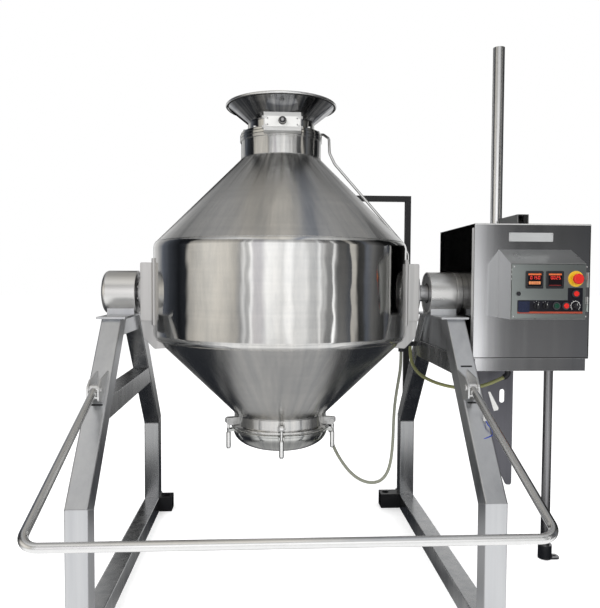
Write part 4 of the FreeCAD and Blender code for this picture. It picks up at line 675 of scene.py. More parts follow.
def hex_screw(mesh: bmesh.types.BMesh, place: Matrix, across: float, height: float) -> None:
    """Adds a washer and a chamfered hexagon head.

    Args:
        mesh: bmesh to add to.
        place: the seat, with Z outwards.
        across: width across flats in metres.
        height: head height in metres.
    """
    washer = across * 0.62
    lathe(mesh, [(0, 0), (washer, 0), (washer, height * 0.14), (washer * 0.96, height * 0.2),
                 (0, height * 0.2)], place, 20)
    corner = across / math.sqrt(3)
    lathe(mesh, [(0, height * 0.2), (corner, height * 0.2), (corner, height * 0.9),
                 (corner * 0.88, height), (0, height)], place, 6)


def round_screw(mesh: bmesh.types.BMesh, place: Matrix, radius: float) -> None:
    """Adds a low domed screw head with a recess in its middle.

    Args:
        mesh: bmesh to add to.
        place: the seat, with Z outwards.
        radius: head radius in metres.
    """
    lathe(mesh, [(0, 0), (radius, 0), (radius, radius * 0.16), (radius * 0.86, radius * 0.42),
                 (radius * 0.5, radius * 0.58), (radius * 0.36, radius * 0.58),
                 (radius * 0.30, radius * 0.25), (0, radius * 0.25)], place, 20)


def slab(mesh: bmesh.types.BMesh, outline: Sequence[tuple[float, float]], place: Matrix,
         thickness: float, ease: float) -> None:
    """Adds a plate with eased edges.

    Args:
        mesh: bmesh to add to.
        outline: (x, y) corners in metres.
        place: the plate's back, with Z outwards.
        thickness: plate thickness.
        ease: size of the eased edge.
    """
    centre = Vector((sum(x for x, _ in outline) / len(outline), sum(y for _, y in outline) / len(outline)))

    def level(height: float, inset: float) -> list[bmesh.types.BMVert]:
        """One ring of corners, drawn in towards the middle.

        Args:
            height: of the ring over the plate's back.
            inset: how far each corner is drawn in along X and along Y.

        Returns:
            The ring's vertices.
        """
        ring = []
        for x, y in outline:
            away = Vector((x, y)) - centre
            pulled = centre + Vector((away.x - math.copysign(min(inset, abs(away.x)), away.x),
                                      away.y - math.copysign(min(inset, abs(away.y)), away.y)))
            ring.append(mesh.verts.new(place @ Vector((pulled.x, pulled.y, height))))
        return ring

    rings = [level(0, 0), level(thickness - ease, 0), level(thickness, ease)]
    count = len(outline)
    for low, high in zip(rings, rings[1:]):
        for i in range(count):
            mesh.faces.new([low[i], low[(i + 1) % count], high[(i + 1) % count], high[i]])
    mesh.faces.new(list(reversed(rings[0])))
    mesh.faces.new(rings[-1])


def rounded_rectangle(width: float, height: float, radius: float,
                      steps: int = 4) -> list[tuple[float, float]]:
    """Corners of a rectangle with rounded ends, centred on the origin.

    Args:
        width: along X.
        height: along Y.
        radius: of the rounded corners.
        steps: straight pieces in each of them.

    Returns:
        The corners, turning from +X to +Y.
    """
    points = []
    for quarter, (sx, sy) in enumerate(((1, 1), (-1, 1), (-1, -1), (1, -1))):
        for k in range(steps + 1):
            angle = math.pi / 2 * (quarter + k / steps)
            points.append((sx * (width / 2 - radius) + radius * math.cos(angle),
                           sy * (height / 2 - radius) + radius * math.sin(angle)))
    return points


def tube(mesh: bmesh.types.BMesh, points: Sequence[Vector], radius: float, sides: int = 12) -> None:
    """Adds a round bar along points, closed at both ends.

    Args:
        mesh: bmesh to add to.
        points: points of its middle line.
        radius: in metres.
        sides: flats round it.
    """
    rings = []
    for i, point in enumerate(points):
        before = points[max(i - 1, 0)]
        after = points[min(i + 1, len(points) - 1)]
        along = (after - before).normalized()
        side = along.cross(OFF_AXES).normalized()
        other = along.cross(side).normalized()
        rings.append([mesh.verts.new(point + radius * (math.cos(2 * math.pi * k / sides) * side
                                                        + math.sin(2 * math.pi * k / sides) * other))
                      for k in range(sides)])
    for low, high in zip(rings, rings[1:]):
        for k in range(sides):
            mesh.faces.new([low[k], low[(k + 1) % sides], high[(k + 1) % sides], high[k]])
    mesh.faces.new(list(reversed(rings[0])))
    mesh.faces.new(rings[-1])


def front_plane(x: float, y: float, z: float) -> Matrix:
    """Place on a face that looks towards -Y, with X across and Y up, from millimetres."""
    turned = Matrix(((1, 0, 0), (0, 0, -1), (0, 1, 0))).to_4x4()
    return Matrix.Translation(at(x, y, z)) @ turned


def plate(mesh: bmesh.types.BMesh, width: float, height: float, radius: float, place: Matrix,
          thickness: float) -> None:
    """Adds a thin rounded plate.

    Args:
        mesh: bmesh to add to.
        width: in millimetres, as all its sizes.
        height: across the width.
        radius: of its corners.
        place: the middle of its back, with Z outwards.
        thickness: of the plate.
    """
    outline = rounded_rectangle(width * MM, height * MM, radius * MM)
    slab(mesh, outline, place, thickness * MM, thickness * MM * 0.3)


def holed_plate(mesh: bmesh.types.BMesh, corners: Sequence[tuple[float, float]], hole: tuple[float, float],
                radius: float, place: Matrix, thickness: float, steps: int = 16) -> None:
    """Adds a plate with a round hole and an eased front edge.

    Args:
        mesh: bmesh to add to.
        corners: (x, y) of its outline in millimetres, as all its sizes, turning from +X to +Y.
        hole: middle of the hole.
        radius: of the hole.
        place: its back, with Z outwards.
        thickness: of the plate.
        steps: parts of each side, and so of the hole's edge across from it.
    """
    outer = []
    for (x0, y0), (x1, y1) in zip(corners, [*corners[1:], corners[0]]):
        outer += [(x0 + (x1 - x0) * k / steps, y0 + (y1 - y0) * k / steps) for k in range(steps)]
    inner = []
    for x, y in outer:
        away = Vector((x - hole[0], y - hole[1])).normalized() * radius
        inner.append((hole[0] + away.x, hole[1] + away.y))
    eased = [(x * (1 - 0.4 / 60), y * (1 - 0.4 / 20)) for x, y in outer]
    rings = []
    for outline, height in ((outer, 0.0), (eased, thickness), (inner, thickness), (inner, 0.0)):
        rings.append([mesh.verts.new(place @ (Vector((x, y, height)) * MM)) for x, y in outline])
    for low, high in zip(rings, [*rings[1:], rings[0]]):
        for k in range(len(low)):
            n = (k + 1) % len(low)
            mesh.faces.new([low[k], low[n], high[n], high[k]])


def loop_bead(mesh: bmesh.types.BMesh, corners: Sequence[Vector], radius: float,
              ripple: float = 0.18) -> None:
    """Adds a rippled weld bead that runs round corners and closes on itself.

    Args:
        mesh: bmesh to add to.
        corners: corners of the loop.
        radius: bead radius in metres.
        ripple: how far its radius swells and sinks, as a share.
    """
    points = []
    for a, b in zip(corners, [*corners[1:], corners[0]]):
        steps = max(2, int((b - a).length / (radius * 1.6)))
        points += [a.lerp(b, k / steps) for k in range(steps)]
    run_bead(mesh, [*points, points[0]], radius, ripple)


def run_bead(mesh: bmesh.types.BMesh, points: Sequence[Vector], radius: float, ripple: float = 0.18) -> None:
    """Adds a rippled weld bead along points.

    Args:
        mesh: bmesh to add to.
        points: points of its middle line, one ripple each.
        radius: bead radius in metres.
        ripple: how far its radius swells and sinks, as a share.
    """
    sides = 8
    rings = []
    for i, point in enumerate(points):
        along = (points[min(i + 1, len(points) - 1)] - points[max(i - 1, 0)]).normalized()
        side = along.cross(OFF_AXES).normalized()
        other = along.cross(side)
        swell = radius * (1 + ripple * (1 if i % 2 else -1))
        rings.append([mesh.verts.new(point + swell * (math.cos(2 * math.pi * k / sides) * side
                                                       + math.sin(2 * math.pi * k / sides) * other))
                      for k in range(sides)])
    for low, high in zip(rings, rings[1:]):
        for k in range(sides):
            mesh.faces.new([low[k], low[(k + 1) % sides], high[(k + 1) % sides], high[k]])
    mesh.faces.new(list(reversed(rings[0])))
    mesh.faces.new(rings[-1])


# Lit bars of each digit, lettered round from the top one, with the middle one last
SEGMENTS = {
    "0": "abcdef", "1": "bc", "2": "abged", "3": "abgcd", "4": "fgbc", "5": "afgcd", "6": "afgedc",
    "7": "abc", "8": "abcdefg", "9": "abfgcd",
}


def seven_segment(mesh: bmesh.types.BMesh, digit: str, place: Matrix, width: float, height: float) -> None:
    """Adds the lit bars of one plain digit.

    Args:
        mesh: bmesh to add to.
        digit: which digit.
        place: its middle, with X across, Y up and Z outwards.
        width: in metres.
        height: in metres.
    """
    bar = height * 0.13
    half_w, half_h = width / 2 - bar / 2, height / 2 - bar / 2
    spots = {
        "a": (0, half_h, 0), "g": (0, 0, 0), "d": (0, -half_h, 0),
        "b": (half_w, half_h / 2, 1), "c": (half_w, -half_h / 2, 1),
        "f": (-half_w, half_h / 2, 1), "e": (-half_w, -half_h / 2, 1),
    }
    for name in SEGMENTS[digit]:
        x, y, upright = spots[name]
        reach = (half_h if upright else 2 * half_w) / 2 - bar * 0.2
        outline = [(reach, 0), (reach - bar / 2, bar / 2), (bar / 2 - reach, bar / 2), (-reach, 0),
                   (bar / 2 - reach, -bar / 2), (reach - bar / 2, -bar / 2)]
        if upright:
            outline = [(-v, u) for u, v in outline]
        slab(mesh, [(x + u, y + v) for u, v in outline], place, 0.0003, 0.0)


def dress(nodes: Iterable[str], finish: str) -> None:
    """Gives CAD nodes a finish.

    Args:
        nodes: their names.
        finish: material name.
    """
    material = bpy.data.materials[finish]
    for name in nodes:
        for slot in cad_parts[name].material_slots:
            slot.material = material
        LOG.info("node %s dressed as %s", name, finish)


# Camera and cables

@dataclass
class Viewpoint:
    """The camera, placed and turned as the photograph's.

    Attributes:
        place: in metres.
        turn_right: turn from +Y towards +X in radians.
        tilt_down: in radians.
        roll: in radians.
        lens: focal length in millimetres.
        sensor: height of the picture in millimetres.
    """
    place: Vector = field(default_factory=lambda: Vector((-0.0603, -2.6395, 1.2252)))
    turn_right: float = 0.054
    tilt_down: float = 0.0408
    roll: float = 0.0047
    lens: float = 36.82
    sensor: float = 36.0

    def build(self) -> bpy.types.Object:
        """Makes the camera and sets it as the scene's.

        Returns:
            The camera.
        """
        yaw, pitch = self.turn_right, self.tilt_down
        ahead = Vector((math.sin(yaw) * math.cos(pitch), math.cos(yaw) * math.cos(pitch), -math.sin(pitch)))
        level = Vector((math.cos(yaw), -math.sin(yaw), 0.0))
        above = level.cross(ahead)
        right = math.cos(self.roll) * level + math.sin(self.roll) * above
        up = -math.sin(self.roll) * level + math.cos(self.roll) * above
        data = bpy.data.cameras.new("photo_view")
        data.sensor_fit = "VERTICAL"
        data.sensor_height = self.sensor
        data.lens = self.lens
        camera = bpy.data.objects.new("photo_view", data)
        bpy.context.scene.collection.objects.link(camera)
        turned = Matrix((right, up, -ahead)).transposed().to_4x4()
        camera.matrix_world = Matrix.Translation(self.place) @ turned
        bpy.context.scene.camera = camera
        return camera


@dataclass
class Cable:
    """A cable that hangs free between two glands.

    Attributes:
        name: the piece's name.
        node: CAD node that it stands for.
        body: CAD body that it rides on.
        slot: name of a material slot; not used.
        finish: material name.
        diameter: in metres.
        length: real length in metres.
        route: given points from exit to far end.
        fittings: CAD nodes on the cable; not used.
    """
    name: str
    node: str
    body: str
    slot: str
    finish: str
    diameter: float
    length: float
    route: list[Vector]
    fittings: list[str]

    def build(self) -> bpy.types.Object:
        """Returns:
            The cable.
        """
        data = bpy.data.curves.new(self.name, "CURVE")
        data.dimensions = "3D"
        data.bevel_depth = self.diameter / 2
        data.bevel_resolution = 6
        data.resolution_u = 12
        data.use_fill_caps = True
        spline = data.splines.new("NURBS")
        spline.points.add(len(self.route) - 1)
        for point, place in zip(spline.points, self.route):
            point.co = (*place, 1.0)
        spline.order_u = 3
        spline.use_endpoint_u = True
        cable = bpy.data.objects.new(self.name, data)
        bpy.context.scene.collection.objects.link(cable)
        data.materials.append(bpy.data.materials[self.finish])
        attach(cable, self.body)
        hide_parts(self.node)
        LOG.info("cable %s, %.3f m", self.name, self.length)
        return cable


LID_CABLE = Cable(
    "lid_signal_cable", "lid_cable", "vessel", "grey_cable", "grey_jacket", 0.013, 0.906,
    [at(219, 0, -596), at(219, 0, -622), at(227, -7, -655), at(244, -16, -690),
     at(268, -24, -728), at(299, -31, -766), at(338, -36, -796), at(384, -38, -811),
     at(429, -36, -804), at(459, -31, -770), at(474, -26, -722), at(481, -22, -668),
     at(485, -18, -610), at(487, -14, -550), at(491, -10, -490), at(499, -6, -430),
     at(510, -2, -370), at(519, 0, -311), at(519, 0, -251)],
    ["lid_cable_glands"])

SUPPLY_CABLE = Cable(
    "stand_supply_cable", "supply_cable", "root", "yellow_green_cable", "olive_jacket", 0.015, 0.625,
    [at(634, 322, -262), at(634, 322, -296), at(637, 311, -332), at(646, 283, -364),
     at(662, 240, -388), at(685, 186, -402), at(712, 122, -410), at(744, 60, -413),
     at(781, 6, -412), at(822, -31, -405), at(864, -52, -392), at(905, -63, -374),
     at(945, -67, -354)],
    ["cable_glands"])


# Sub-assemblies

@dataclass
class Vessel:
    """Double-cone shell with its weld seams, saddles and trunnions.

    Attributes:
        seams: (radius, height from the axis) of each round weld, in millimetres.
        bead: half width of a weld bead in millimetres.
        saddle_out: distance of the saddles' outer faces from the axis.
        saddle_half: half their width; not used.
        gusset_top: height at which their gussets begin.
        head_face: distance of the flange screws' heads.
        flange_pitch: radius of the flange screws' circle.
    """
    seams: tuple[tuple[float, float], ...] = (
        (514.8, 206.5), (514.8, -188.0), (167.0, 556.0), (195.0, -506.0))
    bead: float = 1.1
    saddle_out: float = 565.0
    saddle_half: float = 118.0
    gusset_top: float = -112.0
    head_face: float = 589.0
    flange_pitch: float = 60.0

    def build(self) -> None:
        """Makes the weld seams and the painted shade in the flange screws' sockets, and dresses the nodes."""
        self._seams()
        self._saddle_welds()
        self._flange_socket_painted_shade()
        dress(["vessel_shell"], "vessel_polish")
        dress(["saddles"], "saddle_satin")
        dress(["left_trunnion", "right_trunnion", "bull_gear"], "machined_finish")
        dress(["air_pipe"], "bar_satin")
        dress(["lid_seal"], "white_seal_rubber")

    def _seams(self) -> None:
        """Ground round seams between belt, cones and necks."""
        mesh = bmesh.new()
        for radius, height in self.seams:
            ring = [((radius + self.bead * math.cos(a)) * MM, height * MM + self.bead * math.sin(a) * MM)
                    for a in (math.pi * 2 * k / 8 for k in range(8))]
            closed_lathe(mesh, ring, Matrix.Translation((0, 0, TRUNNION_Z)), 192)
        add_object("vessel_weld_seams", mesh, "vessel_polish", "vessel")

    def _saddle_welds(self) -> None:
        """Beads where each gusset meets its saddle block."""
        mesh = bmesh.new()
        for side in (-1, 1):
            x = side * self.saddle_out
            points = [at(x, y, self.gusset_top) for y in range(-114, 116, 3)]
            run_bead(mesh, points, 0.0016)
        add_object("saddle_weld_beads", mesh, "saddle_satin", "vessel")

    def _flange_socket_painted_shade(self) -> None:
        """Black hexagons on the eight screw heads of each trunnion flange: painted shade standing for their
        sockets.
        """
        mesh = bmesh.new()
        for side in (-1, 1):
            for k in range(8):
                turn = math.radians(22.5 + 45 * k)
                seat = at(side * self.head_face, self.flange_pitch * math.cos(turn),
                          self.flange_pitch * math.sin(turn))
                lathe(mesh, [(0, 0), (0.0040, 0), (0.0038, 0.0003), (0, 0.0003)],
                      facing(seat, Vector((side, 0, 0))), 6)
        add_object("trunnion_socket_painted_shade", mesh, "black_moulding", "vessel")


@dataclass
class FeedEnd:
    """Inlet valve, its operator and the feed funnel.

    Attributes:
        joint_height: height of the neck's flange joint in millimetres.
        joint_radius: its radius.
        screw_height: height of the valve flange's upper face.
        screw_pitch: radius of its screws' circle.
        rim_radius: outer radius of the funnel's rolled rim.
        rim_height: height of the rim's underside.
        bead_height: height of the rim's rolled bead.
        operator_face: Y of the operator's front.
        spindle_height: height of the valve's spindle.
        panel_height: height of the middle of the operator's front panel.
        spindle_face: Y of the spindle head's front.
    """
    joint_height: float = 640.0
    joint_radius: float = 170.2
    screw_height: float = 664.0
    screw_pitch: float = 155.0
    rim_radius: float = 226.0
    rim_height: float = 768.0
    bead_height: float = 775.0
    operator_face: float = -197.0
    spindle_height: float = 674.0
    panel_height: float = 670.0
    spindle_face: float = -211.0

    def build(self) -> None:
        """Makes gaskets, flange screws, operator panel, the rim's bead and the painted shadow under the rim,
        and dresses the nodes.
        """
        mesh = bmesh.new()
        for height in (self.joint_height, self.joint_height + 11):
            ring = [(self.joint_radius * MM + 0.0012 * math.cos(a), height * MM + 0.0012 * math.sin(a))
                    for a in (math.pi / 4 * k for k in range(8))]
            closed_lathe(mesh, ring, Matrix.Translation((0, 0, TRUNNION_Z)), 128)
        add_object("neck_joint_gaskets", mesh, "black_rubber", "vessel")
        mesh = bmesh.new()
        for k in range(12):
            turn = math.radians(30 * k + 15)
            seat = at(self.screw_pitch * math.cos(turn), self.screw_pitch * math.sin(turn), self.screw_height)
            if abs(math.degrees(turn) - 270) > 35:
                hex_screw(mesh, facing(seat, Vector((0, 0, 1))), 0.013, 0.008)
        add_object("valve_flange_screws", mesh, "bar_satin", "vessel")
        # Black band under the funnel's rim: a painted shadow line
        mesh = bmesh.new()
        band = [(self.rim_radius - 3.2, self.rim_height), (self.rim_radius + 1.5, self.rim_height + 1.2),
                (self.rim_radius + 1.2, self.rim_height + 3.0),
                (self.rim_radius - 3.0, self.rim_height + 2.0)]
        closed_lathe(mesh, [(r * MM, z * MM) for r, z in band], Matrix.Translation((0, 0, TRUNNION_Z)), 128)
        add_object("funnel_rim_painted_shadow", mesh, "black_rubber", "vessel")
        self._operator_panel()
        self._rim_bead()
        dress(["inlet_valve_body", "inlet_valve_disc"], "neck_polish")
        dress(["feed_funnel"], "funnel_polish")
        # The operator's body gets the greyed white paint as painted shade
        dress(["valve_operator"], "white_operator_paint")

    def _operator_panel(self) -> None:
        """White panel with cut corners, its screws, and the spindle's dark ring and cap."""
        half_w, half_h, cut = 69.0, 20.0, 11.0
        corners = [(half_w, -half_h + cut), (half_w, half_h - cut), (half_w - cut, half_h),
                   (cut - half_w, half_h), (-half_w, half_h - cut), (-half_w, cut - half_h),
                   (cut - half_w, -half_h), (half_w - cut, -half_h)]
        mesh = bmesh.new()
        holed_plate(mesh, corners, (0.0, self.spindle_height - self.panel_height), 14.2,
                    front_plane(0, self.operator_face, self.panel_height), 1.4)
        add_object("operator_front_panel", mesh, "white_panel_paint", "vessel")
        mesh = bmesh.new()
        for x in (-58.0, 58.0):
            for z in (-12.0, 12.0):
                round_screw(mesh, front_plane(x, self.operator_face - 1.4, self.panel_height + z), 0.0030)
        add_object("operator_panel_screws", mesh, "machined_finish", "vessel")
        mesh = bmesh.new()
        closed_lathe(mesh, [(0.0142, 0), (0.0160, 0), (0.0156, 0.0008), (0.0146, 0.0008)],
                     front_plane(0, self.operator_face - 1.4, self.spindle_height), 48)
        add_object("operator_spindle_ring", mesh, "black_moulding", "vessel")
        mesh = bmesh.new()
        front = front_plane(0, self.spindle_face, self.spindle_height)
        lathe(mesh, [(0, 0), (0.0126, 0), (0.0126, 0.0012), (0.0108, 0.0028), (0.0060, 0.0040), (0, 0.0044)],
              front, 48)
        add_object("valve_spindle_cap", mesh, "black_moulding", "inlet_valve")
        mesh = bmesh.new()
        hex_screw(mesh, front @ Matrix.Translation((0, 0, 0.0040)), 0.011, 0.004)
        add_object("valve_spindle_screw", mesh, "machined_finish", "inlet_valve")

    def _rim_bead(self) -> None:
        """Bright rolled bead on the funnel's rim."""
        mesh = bmesh.new()
        ring = [((self.rim_radius + 5.4 * math.cos(a)) * MM, (self.bead_height + 5.4 * math.sin(a)) * MM)
                for a in (math.pi / 6 * k for k in range(12))]
        closed_lathe(mesh, ring, Matrix.Translation((0, 0, TRUNNION_Z)), 160)
        add_object("funnel_rim_bead", mesh, "bar_satin", "vessel")


@dataclass
class DischargeEnd:
    """Discharge lid with its swing-bolt clamps.

    Attributes:
        bolts: how many swing bolts hold the lid.
    """
    bolts: int = 5

    def build(self) -> None:
        """Dresses the nodes."""
        dress(["discharge_lid"], "lid_polish")
        dress(["clamp_lugs"], "lug_steel")
        dress([f"swing_bolt_{i + 1}" for i in range(self.bolts)], "bar_satin")
        dress(["lid_cable_glands"], "black_moulding")


@dataclass
class Stands:
    """A-stands, bearing drums, braces, guard rail and its brackets.

    Attributes:
        centres: X of the left and right stand in millimetres.
        tube: side of the square tube.
        foot_y: Y of the upright parts of the legs.
        top_y: Y at which the legs meet the head plates.
        bend_z: height of the mitred bends.
        head_z: height of the head plates' undersides.
        closed_end: X of the left drum's closed end.
        mouths: X of the back of each drum mouth's black ring of painted shade, and the side it looks to.
        drum_pitch: radius of the drum screws' circle.
    """
    centres: tuple[float, float] = (-656.0, 690.0)
    tube: float = 75.0
    foot_y: float = 645.0
    top_y: float = 167.0
    bend_z: float = -682.0
    head_z: float = -98.0
    closed_end: float = -732.0
    mouths: tuple[tuple[float, int], ...] = ((-601.0, 1), (632.0, -1))
    drum_pitch: float = 52.0

    def build(self) -> None:
        """Makes the welds, screws, small fittings, and the painted shade in the drum mouths and over the right
        bracket, and dresses the nodes.
        """
        self._mitre_welds()
        self._drum_screws_and_painted_shade()
        self._slots_and_painted_shadow()
        self._right_leg_wiring()
        dress(["left_bearing_housing", "right_bearing_housing"], "drum_satin")
        dress(["trunnion_bearings"], "machined_finish")
        dress(["left_front_leg", "right_front_leg", "head_plates"], "leg_mill")
        # The rear legs, base runners and braces get the darker leg steel as painted shade
        dress(["left_rear_leg", "right_rear_leg", "base_runners", "braces"], "rear_leg_mill")
        dress(["support_pole"], "pole_satin")
        dress(["guard_brackets"], "bracket_satin")
        dress(["anchor_feet", "sensor_arm"], "black_paint")
        dress(["guard_rail"], "bar_satin")
        dress(["cable_glands"], "black_moulding")

    def _slope(self) -> tuple[float, float]:
        """Slope of the slanted legs and the reach of their flat faces from the centre line."""
        slope = (self.foot_y - self.top_y) / (self.head_z - self.bend_z)
        return slope, self.tube / 2 / math.cos(math.atan(slope))

    def leg_face(self, height: float) -> float:
        """Y of the front legs' outer face at a height on the slanted part."""
        slope, flat = self._slope()
        return -self.top_y - (self.head_z - height) * slope - flat

    def _mitre_welds(self) -> None:
        """Weld bead round each mitred bend and round each leg top."""
        mesh = bmesh.new()
        half = self.tube / 2 + 0.4
        slope, _ = self._slope()
        rise = half * math.tan(math.atan(slope) / 2)
        cut = 6.0
        for x in self.centres:
            for side in (-1, 1):
                corners = []
                for sx, sy, swap in ((-1, 1, 0), (-1, 1, 1), (1, 1, 1), (1, 1, 0), (1, -1, 0), (1, -1, 1),
                                     (-1, -1, 1), (-1, -1, 0)):
                    dx = half - (cut if swap else 0)
                    dy = half - (0 if swap else cut)
                    away = sy * dy
                    corners.append(at(x + sx * dx, side * (self.foot_y + away),
                                      self.bend_z + rise * away / half))
                loop_bead(mesh, corners, 0.0015)
        add_object("leg_mitre_welds", mesh, "leg_mill", "root")

    def _drum_screws_and_painted_shade(self) -> None:
        """Low screws on the closed drum end, and black rings in the drums' open mouths as painted shade."""
        mesh = bmesh.new()
        for k in range(6):
            turn = math.radians(60 * k)
            seat = at(self.closed_end, self.drum_pitch * math.cos(turn), self.drum_pitch * math.sin(turn))
            round_screw(mesh, facing(seat, Vector((-1, 0, 0))), 0.006)
        add_object("drum_end_screws", mesh, "bar_satin", "root")
        # Black rings that darken the open drum mouths: painted shade
        mesh = bmesh.new()
        for x, side in self.mouths:
            ring = [(0.0365, 0.0), (0.0815, 0.0), (0.0815, 0.003), (0.0790, 0.0045), (0.0500, 0.0035),
                    (0.0400, 0.0055), (0.0365, 0.0055)]
            closed_lathe(mesh, ring, facing(at(x, 0, 0), Vector((side, 0, 0))), 64)
        add_object("drum_mouth_painted_shade", mesh, "black_rubber", "root")

    def _slots_and_painted_shadow(self) -> None:
        """Dark strips across the front legs: slots under the guard brackets, and over the right bracket a
        painted shadow.
        """
        slope, _ = self._slope()
        tilt = math.atan(slope)
        outward = Vector((0, -math.cos(tilt), math.sin(tilt)))
        up = Vector((0, math.sin(tilt), math.cos(tilt)))
        mesh = bmesh.new()
        for x, shift in zip(self.centres, (0.0, 1.0)):
            # The strip at -266, on the right leg only, is the painted shadow over its bracket
            for height, width in ((-384.0, 52.0), (-266.0, 44.0 * shift)):
                if width < 1:
                    continue
                seat = at(x, self.leg_face(height), height)
                turned = Matrix((Vector((1, 0, 0)), up, outward)).transposed().to_4x4()
                plate(mesh, width, 7.0, 3.4, Matrix.Translation(seat) @ turned, 0.6)
        add_object("leg_slots_and_painted_shadow", mesh, "black_paint", "root")

    def _right_leg_wiring(self) -> None:
        """Push-in connector, its blue wire and a bare tag on the right front leg."""
        mesh = bmesh.new()
        plate(mesh, 13.0, 24.0, 3.0, front_plane(712, -496, -428), 14.0)
        plate(mesh, 8.0, 9.0, 1.5, front_plane(712, -510, -421), 3.0)
        add_object("leg_wire_connector", mesh, "white_nylon", "root")
        mesh = bmesh.new()
        bend = [at(713, -506, -438), at(715, -520, -448), at(723, -528, -458), at(729, -531, -470),
                at(726, -533, -482), at(712, -535, -488), at(690, -538, -496), at(668, -541, -505)]
        tube(mesh, bend, 0.0021, 10)
        add_object("leg_blue_wire", mesh, "blue_insulation", "root")
        mesh = bmesh.new()
        turned = Matrix(((0.92, 0.0, 0.39), (0.0, 1.0, 0.0), (-0.39, 0.0, 0.92)))
        face = front_plane(742, -508, -366) @ turned.to_4x4()
        slab(mesh, [(-0.022, 0.034), (-0.031, 0.034), (-0.003, -0.036), (0.016, -0.034), (0.018, -0.027)],
             face, 0.0012, 0.0004)
        add_object("leg_bare_tag", mesh, "white_nylon", "root")


@dataclass
class Cabinet:
    """Drive cabinet, base frame, mast, duct and what hangs under it.

    Attributes:
        left: X of the left wall in millimetres.
        right: X of the right wall.
        front: Y of the front.
        back: Y of the back cover's outer face.
        base: height of the cabinet's underside.
        top: height of its roof.
        plate_left: X of the blank plate's left edge.
        plate_right: X of its right edge.
        plate_low: its lower edge.
        plate_high: its upper edge.
    """
    left: float = 759.0
    right: float = 1230.0
    front: float = -220.0
    back: float = 267.0
    base: float = -256.0
    top: float = 282.0
    plate_left: float = 897.0
    plate_right: float = 1075.0
    plate_low: float = 211.0
    plate_high: float = 246.0

    def build(self) -> None:
        """Makes the painted highlights on the edges, the seams, the painted shade in the duct's mouth and the
        screws, and dresses the nodes.
        """
        self._painted_edges_and_seams()
        self._screws()
        dress(["cabinet_body", "cabinet_back_cover", "cabinet_base_frame"], "cabinet_sheet")
        dress(["roof_duct"], "console_sheet")
        dress(["mast"], "bar_satin")
        dress(["lower_guard_plate"], "dark_sheet")
        dress(["blank_plate"], "pale_plate")
        dress(["drive_pinion"], "machined_finish")
        dress(["gear_motor"], "motor_enamel")

    def _painted_edges_and_seams(self) -> None:
        """Pale strips on the folded edges as painted highlights, the dark seams at the base and the right
        edge, and a black plate in the duct's mouth as painted shade.
        """
        mesh = bmesh.new()
        width = self.right - self.left
        middle = (self.left + self.right) / 2
        # Painted highlights: pale strips along the top front edge and down the left wall's front edge
        plate(mesh, width - 3, 4.0, 0.8, front_plane(middle, self.front, self.top - 3.2), 0.7)
        left_wall = Matrix(((0, 0, -1), (-1, 0, 0), (0, 1, 0))).to_4x4()
        plate(mesh, 24.0, self.top - self.base - 34, 1.5,
              Matrix.Translation(at(self.left, self.front + 17, (self.top + self.base) / 2)) @ left_wall, 0.8)
        add_object("cabinet_edge_painted_highlights", mesh, "cabinet_trim", "root")
        mesh = bmesh.new()
        plate(mesh, width - 6, 3.0, 0.8, front_plane(middle, self.front, self.base + 5), 0.5)
        plate(mesh, 3.0, self.top - self.base - 30, 0.8, front_plane(self.right - 3, self.front, 8), 0.5)
        # Black plate in the roof duct's mouth: painted shade
        plate(mesh, 16.0, 34.0, 1.0, front_plane(992, -150, 304), 0.5)
        add_object("cabinet_seams_and_painted_shade", mesh, "black_rubber", "root")

    def _screws(self) -> None:
        """Screws on the back cover and at the mast's foot, and the blank plate's rivets."""
        mesh = bmesh.new()
        backward = Vector((0, 1, 0))
        for x in (self.left + 14, self.left + 125, self.left + 236, self.right - 125, self.right - 14):
            for z in (self.base + 14, self.top - 14):
                round_screw(mesh, facing(at(x, self.back, z), backward), 0.0055)
        for z in (self.base + 130, self.base + 262, self.base + 394):
            for x in (self.left + 14, self.right - 14):
                round_screw(mesh, facing(at(x, self.back, z), backward), 0.0055)
        for x in (936.0, 1012.0):
            for y in (92.0, 168.0):
                hex_screw(mesh, facing(at(x, y, 288), Vector((0, 0, 1))), 0.010, 0.006)
        for x in (self.plate_left + 5, self.plate_right - 5):
            for z in (self.plate_low + 5, self.plate_high - 5):
                round_screw(mesh, front_plane(x, -221.5, z), 0.0022)
        add_object("cabinet_screws", mesh, "bar_satin", "root")


